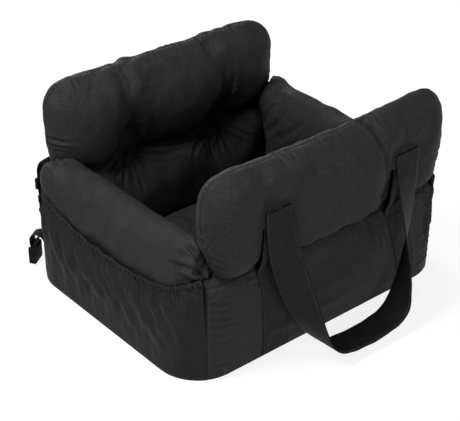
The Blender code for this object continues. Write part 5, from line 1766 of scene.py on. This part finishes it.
def floor_paper():
    """Seamless studio paper: matt, and lit for the camera so that it reads as white while it
    keeps the shadow."""
    material, tree, skin = new_material("seamless white paper")
    if tree is None:
        return material
    skin.inputs["Base Color"].default_value = linear("8C8C8C")
    skin.inputs["Roughness"].default_value = 0.9
    skin.inputs["Specular IOR Level"].default_value = 0.2
    rays = add_node(tree, "ShaderNodeLightPath").outputs
    seen = rays["Is Camera Ray"]
    for name in ("Is Glossy Ray", "Is Transmission Ray"):
        seen = add_node(tree, MATH, {0: seen, 1: rays[name]}, 0, operation="MAXIMUM")
    light = add_node(tree, MATH, {0: seen, 1: 0.82}, 0, operation="MULTIPLY")
    glow = add_node(tree, "ShaderNodeEmission", {"Color": (1, 1, 1, 1), "Strength": light})
    both = add_node(tree, "ShaderNodeAddShader")
    tree.links.new(skin.outputs["BSDF"], both.inputs[0])
    tree.links.new(glow.outputs["Emission"], both.inputs[1])
    tree.links.new(both.outputs["Shader"], tree.nodes["Material Output"].inputs["Surface"])
    return material


def white_world(scene):
    """White behind everything, with a softer light on the object."""
    world = bpy.data.worlds.new("studio white")
    scene.world = world
    world.use_nodes = True
    tree = world.node_tree
    rays = add_node(tree, "ShaderNodeLightPath").outputs
    strength = add_node(tree, MATH, {0: rays["Is Camera Ray"], 1: rays["Is Transmission Ray"]},
                        0, operation="MAXIMUM")
    for operation, amount in (("MULTIPLY", 0.84), ("ADD", 0.16)):
        strength = add_node(tree, MATH, {0: strength, 1: amount}, 0, operation=operation)
    backdrop = tree.nodes["Background"]
    backdrop.inputs["Color"].default_value = (1, 1, 1, 1)
    tree.links.new(strength, backdrop.inputs["Strength"])


def aim_camera(scene):
    """The photograph's viewing angle: 40 degrees round from the front and 32 above."""
    camera = bpy.data.cameras.new("photo_camera")
    camera.sensor_width = 36
    camera.lens = 108.1
    thing = place_in_scene("photo_camera", camera)
    turn, rise = math.radians(-39.9), math.radians(31.6)
    back = Vector((math.sin(turn) * math.cos(rise), -math.cos(turn) * math.cos(rise),
                   math.sin(rise)))
    thing.location = Vector((-0.0975, -0.0955, 0.2)) + back * 2.3
    thing.rotation_euler = back.to_track_quat("Z", "Y").to_euler()
    scene.camera = thing


# ---------------------------------------------------------------- the add-on

PIECES = (CARSEAT_OT_end_cushions, CARSEAT_OT_linings, CARSEAT_OT_rolls,
          CARSEAT_OT_seat_cushion, CARSEAT_OT_covers, CARSEAT_OT_pockets, CARSEAT_OT_bands,
          CARSEAT_OT_handles, CARSEAT_OT_belts, CARSEAT_OT_buckles, CARSEAT_OT_base,
          CARSEAT_OT_stage)


class CARSEAT_PT_pieces(bpy.types.Panel):
    """Lists the car seat's pieces and their settings"""
    bl_idname = "CARSEAT_PT_pieces"
    bl_label = "Dog car seat"
    bl_space_type = "VIEW_3D"
    bl_region_type = "UI"
    bl_category = "Car seat"

    def draw(self, context):
        for group in (context.scene.car_seat_cloth, context.scene.car_seat_padding,
                      context.scene.car_seat_straps):
            box = self.layout.box()
            for name in group.__annotations__:
                box.prop(group, name)
        for piece in PIECES:
            self.layout.operator(piece.bl_idname)


SETTINGS = (("car_seat_cloth", CarSeatCloth), ("car_seat_padding", CarSeatPadding),
            ("car_seat_straps", CarSeatStraps))


def register():
    for name, group in SETTINGS:
        bpy.utils.register_class(group)
        setattr(bpy.types.Scene, name, bpy.props.PointerProperty(type=group))
    for piece in PIECES:
        bpy.utils.register_class(piece)
    bpy.utils.register_class(CARSEAT_PT_pieces)


def unregister():
    bpy.utils.unregister_class(CARSEAT_PT_pieces)
    for piece in reversed(PIECES):
        bpy.utils.unregister_class(piece)
    for name, group in reversed(SETTINGS):
        delattr(bpy.types.Scene, name)
        bpy.utils.unregister_class(group)


def main():
    register()
    for piece in PIECES:
        folder, name = piece.bl_idname.split(".")
        getattr(getattr(bpy.ops, folder), name)()


if __name__ == "__main__":
    main()
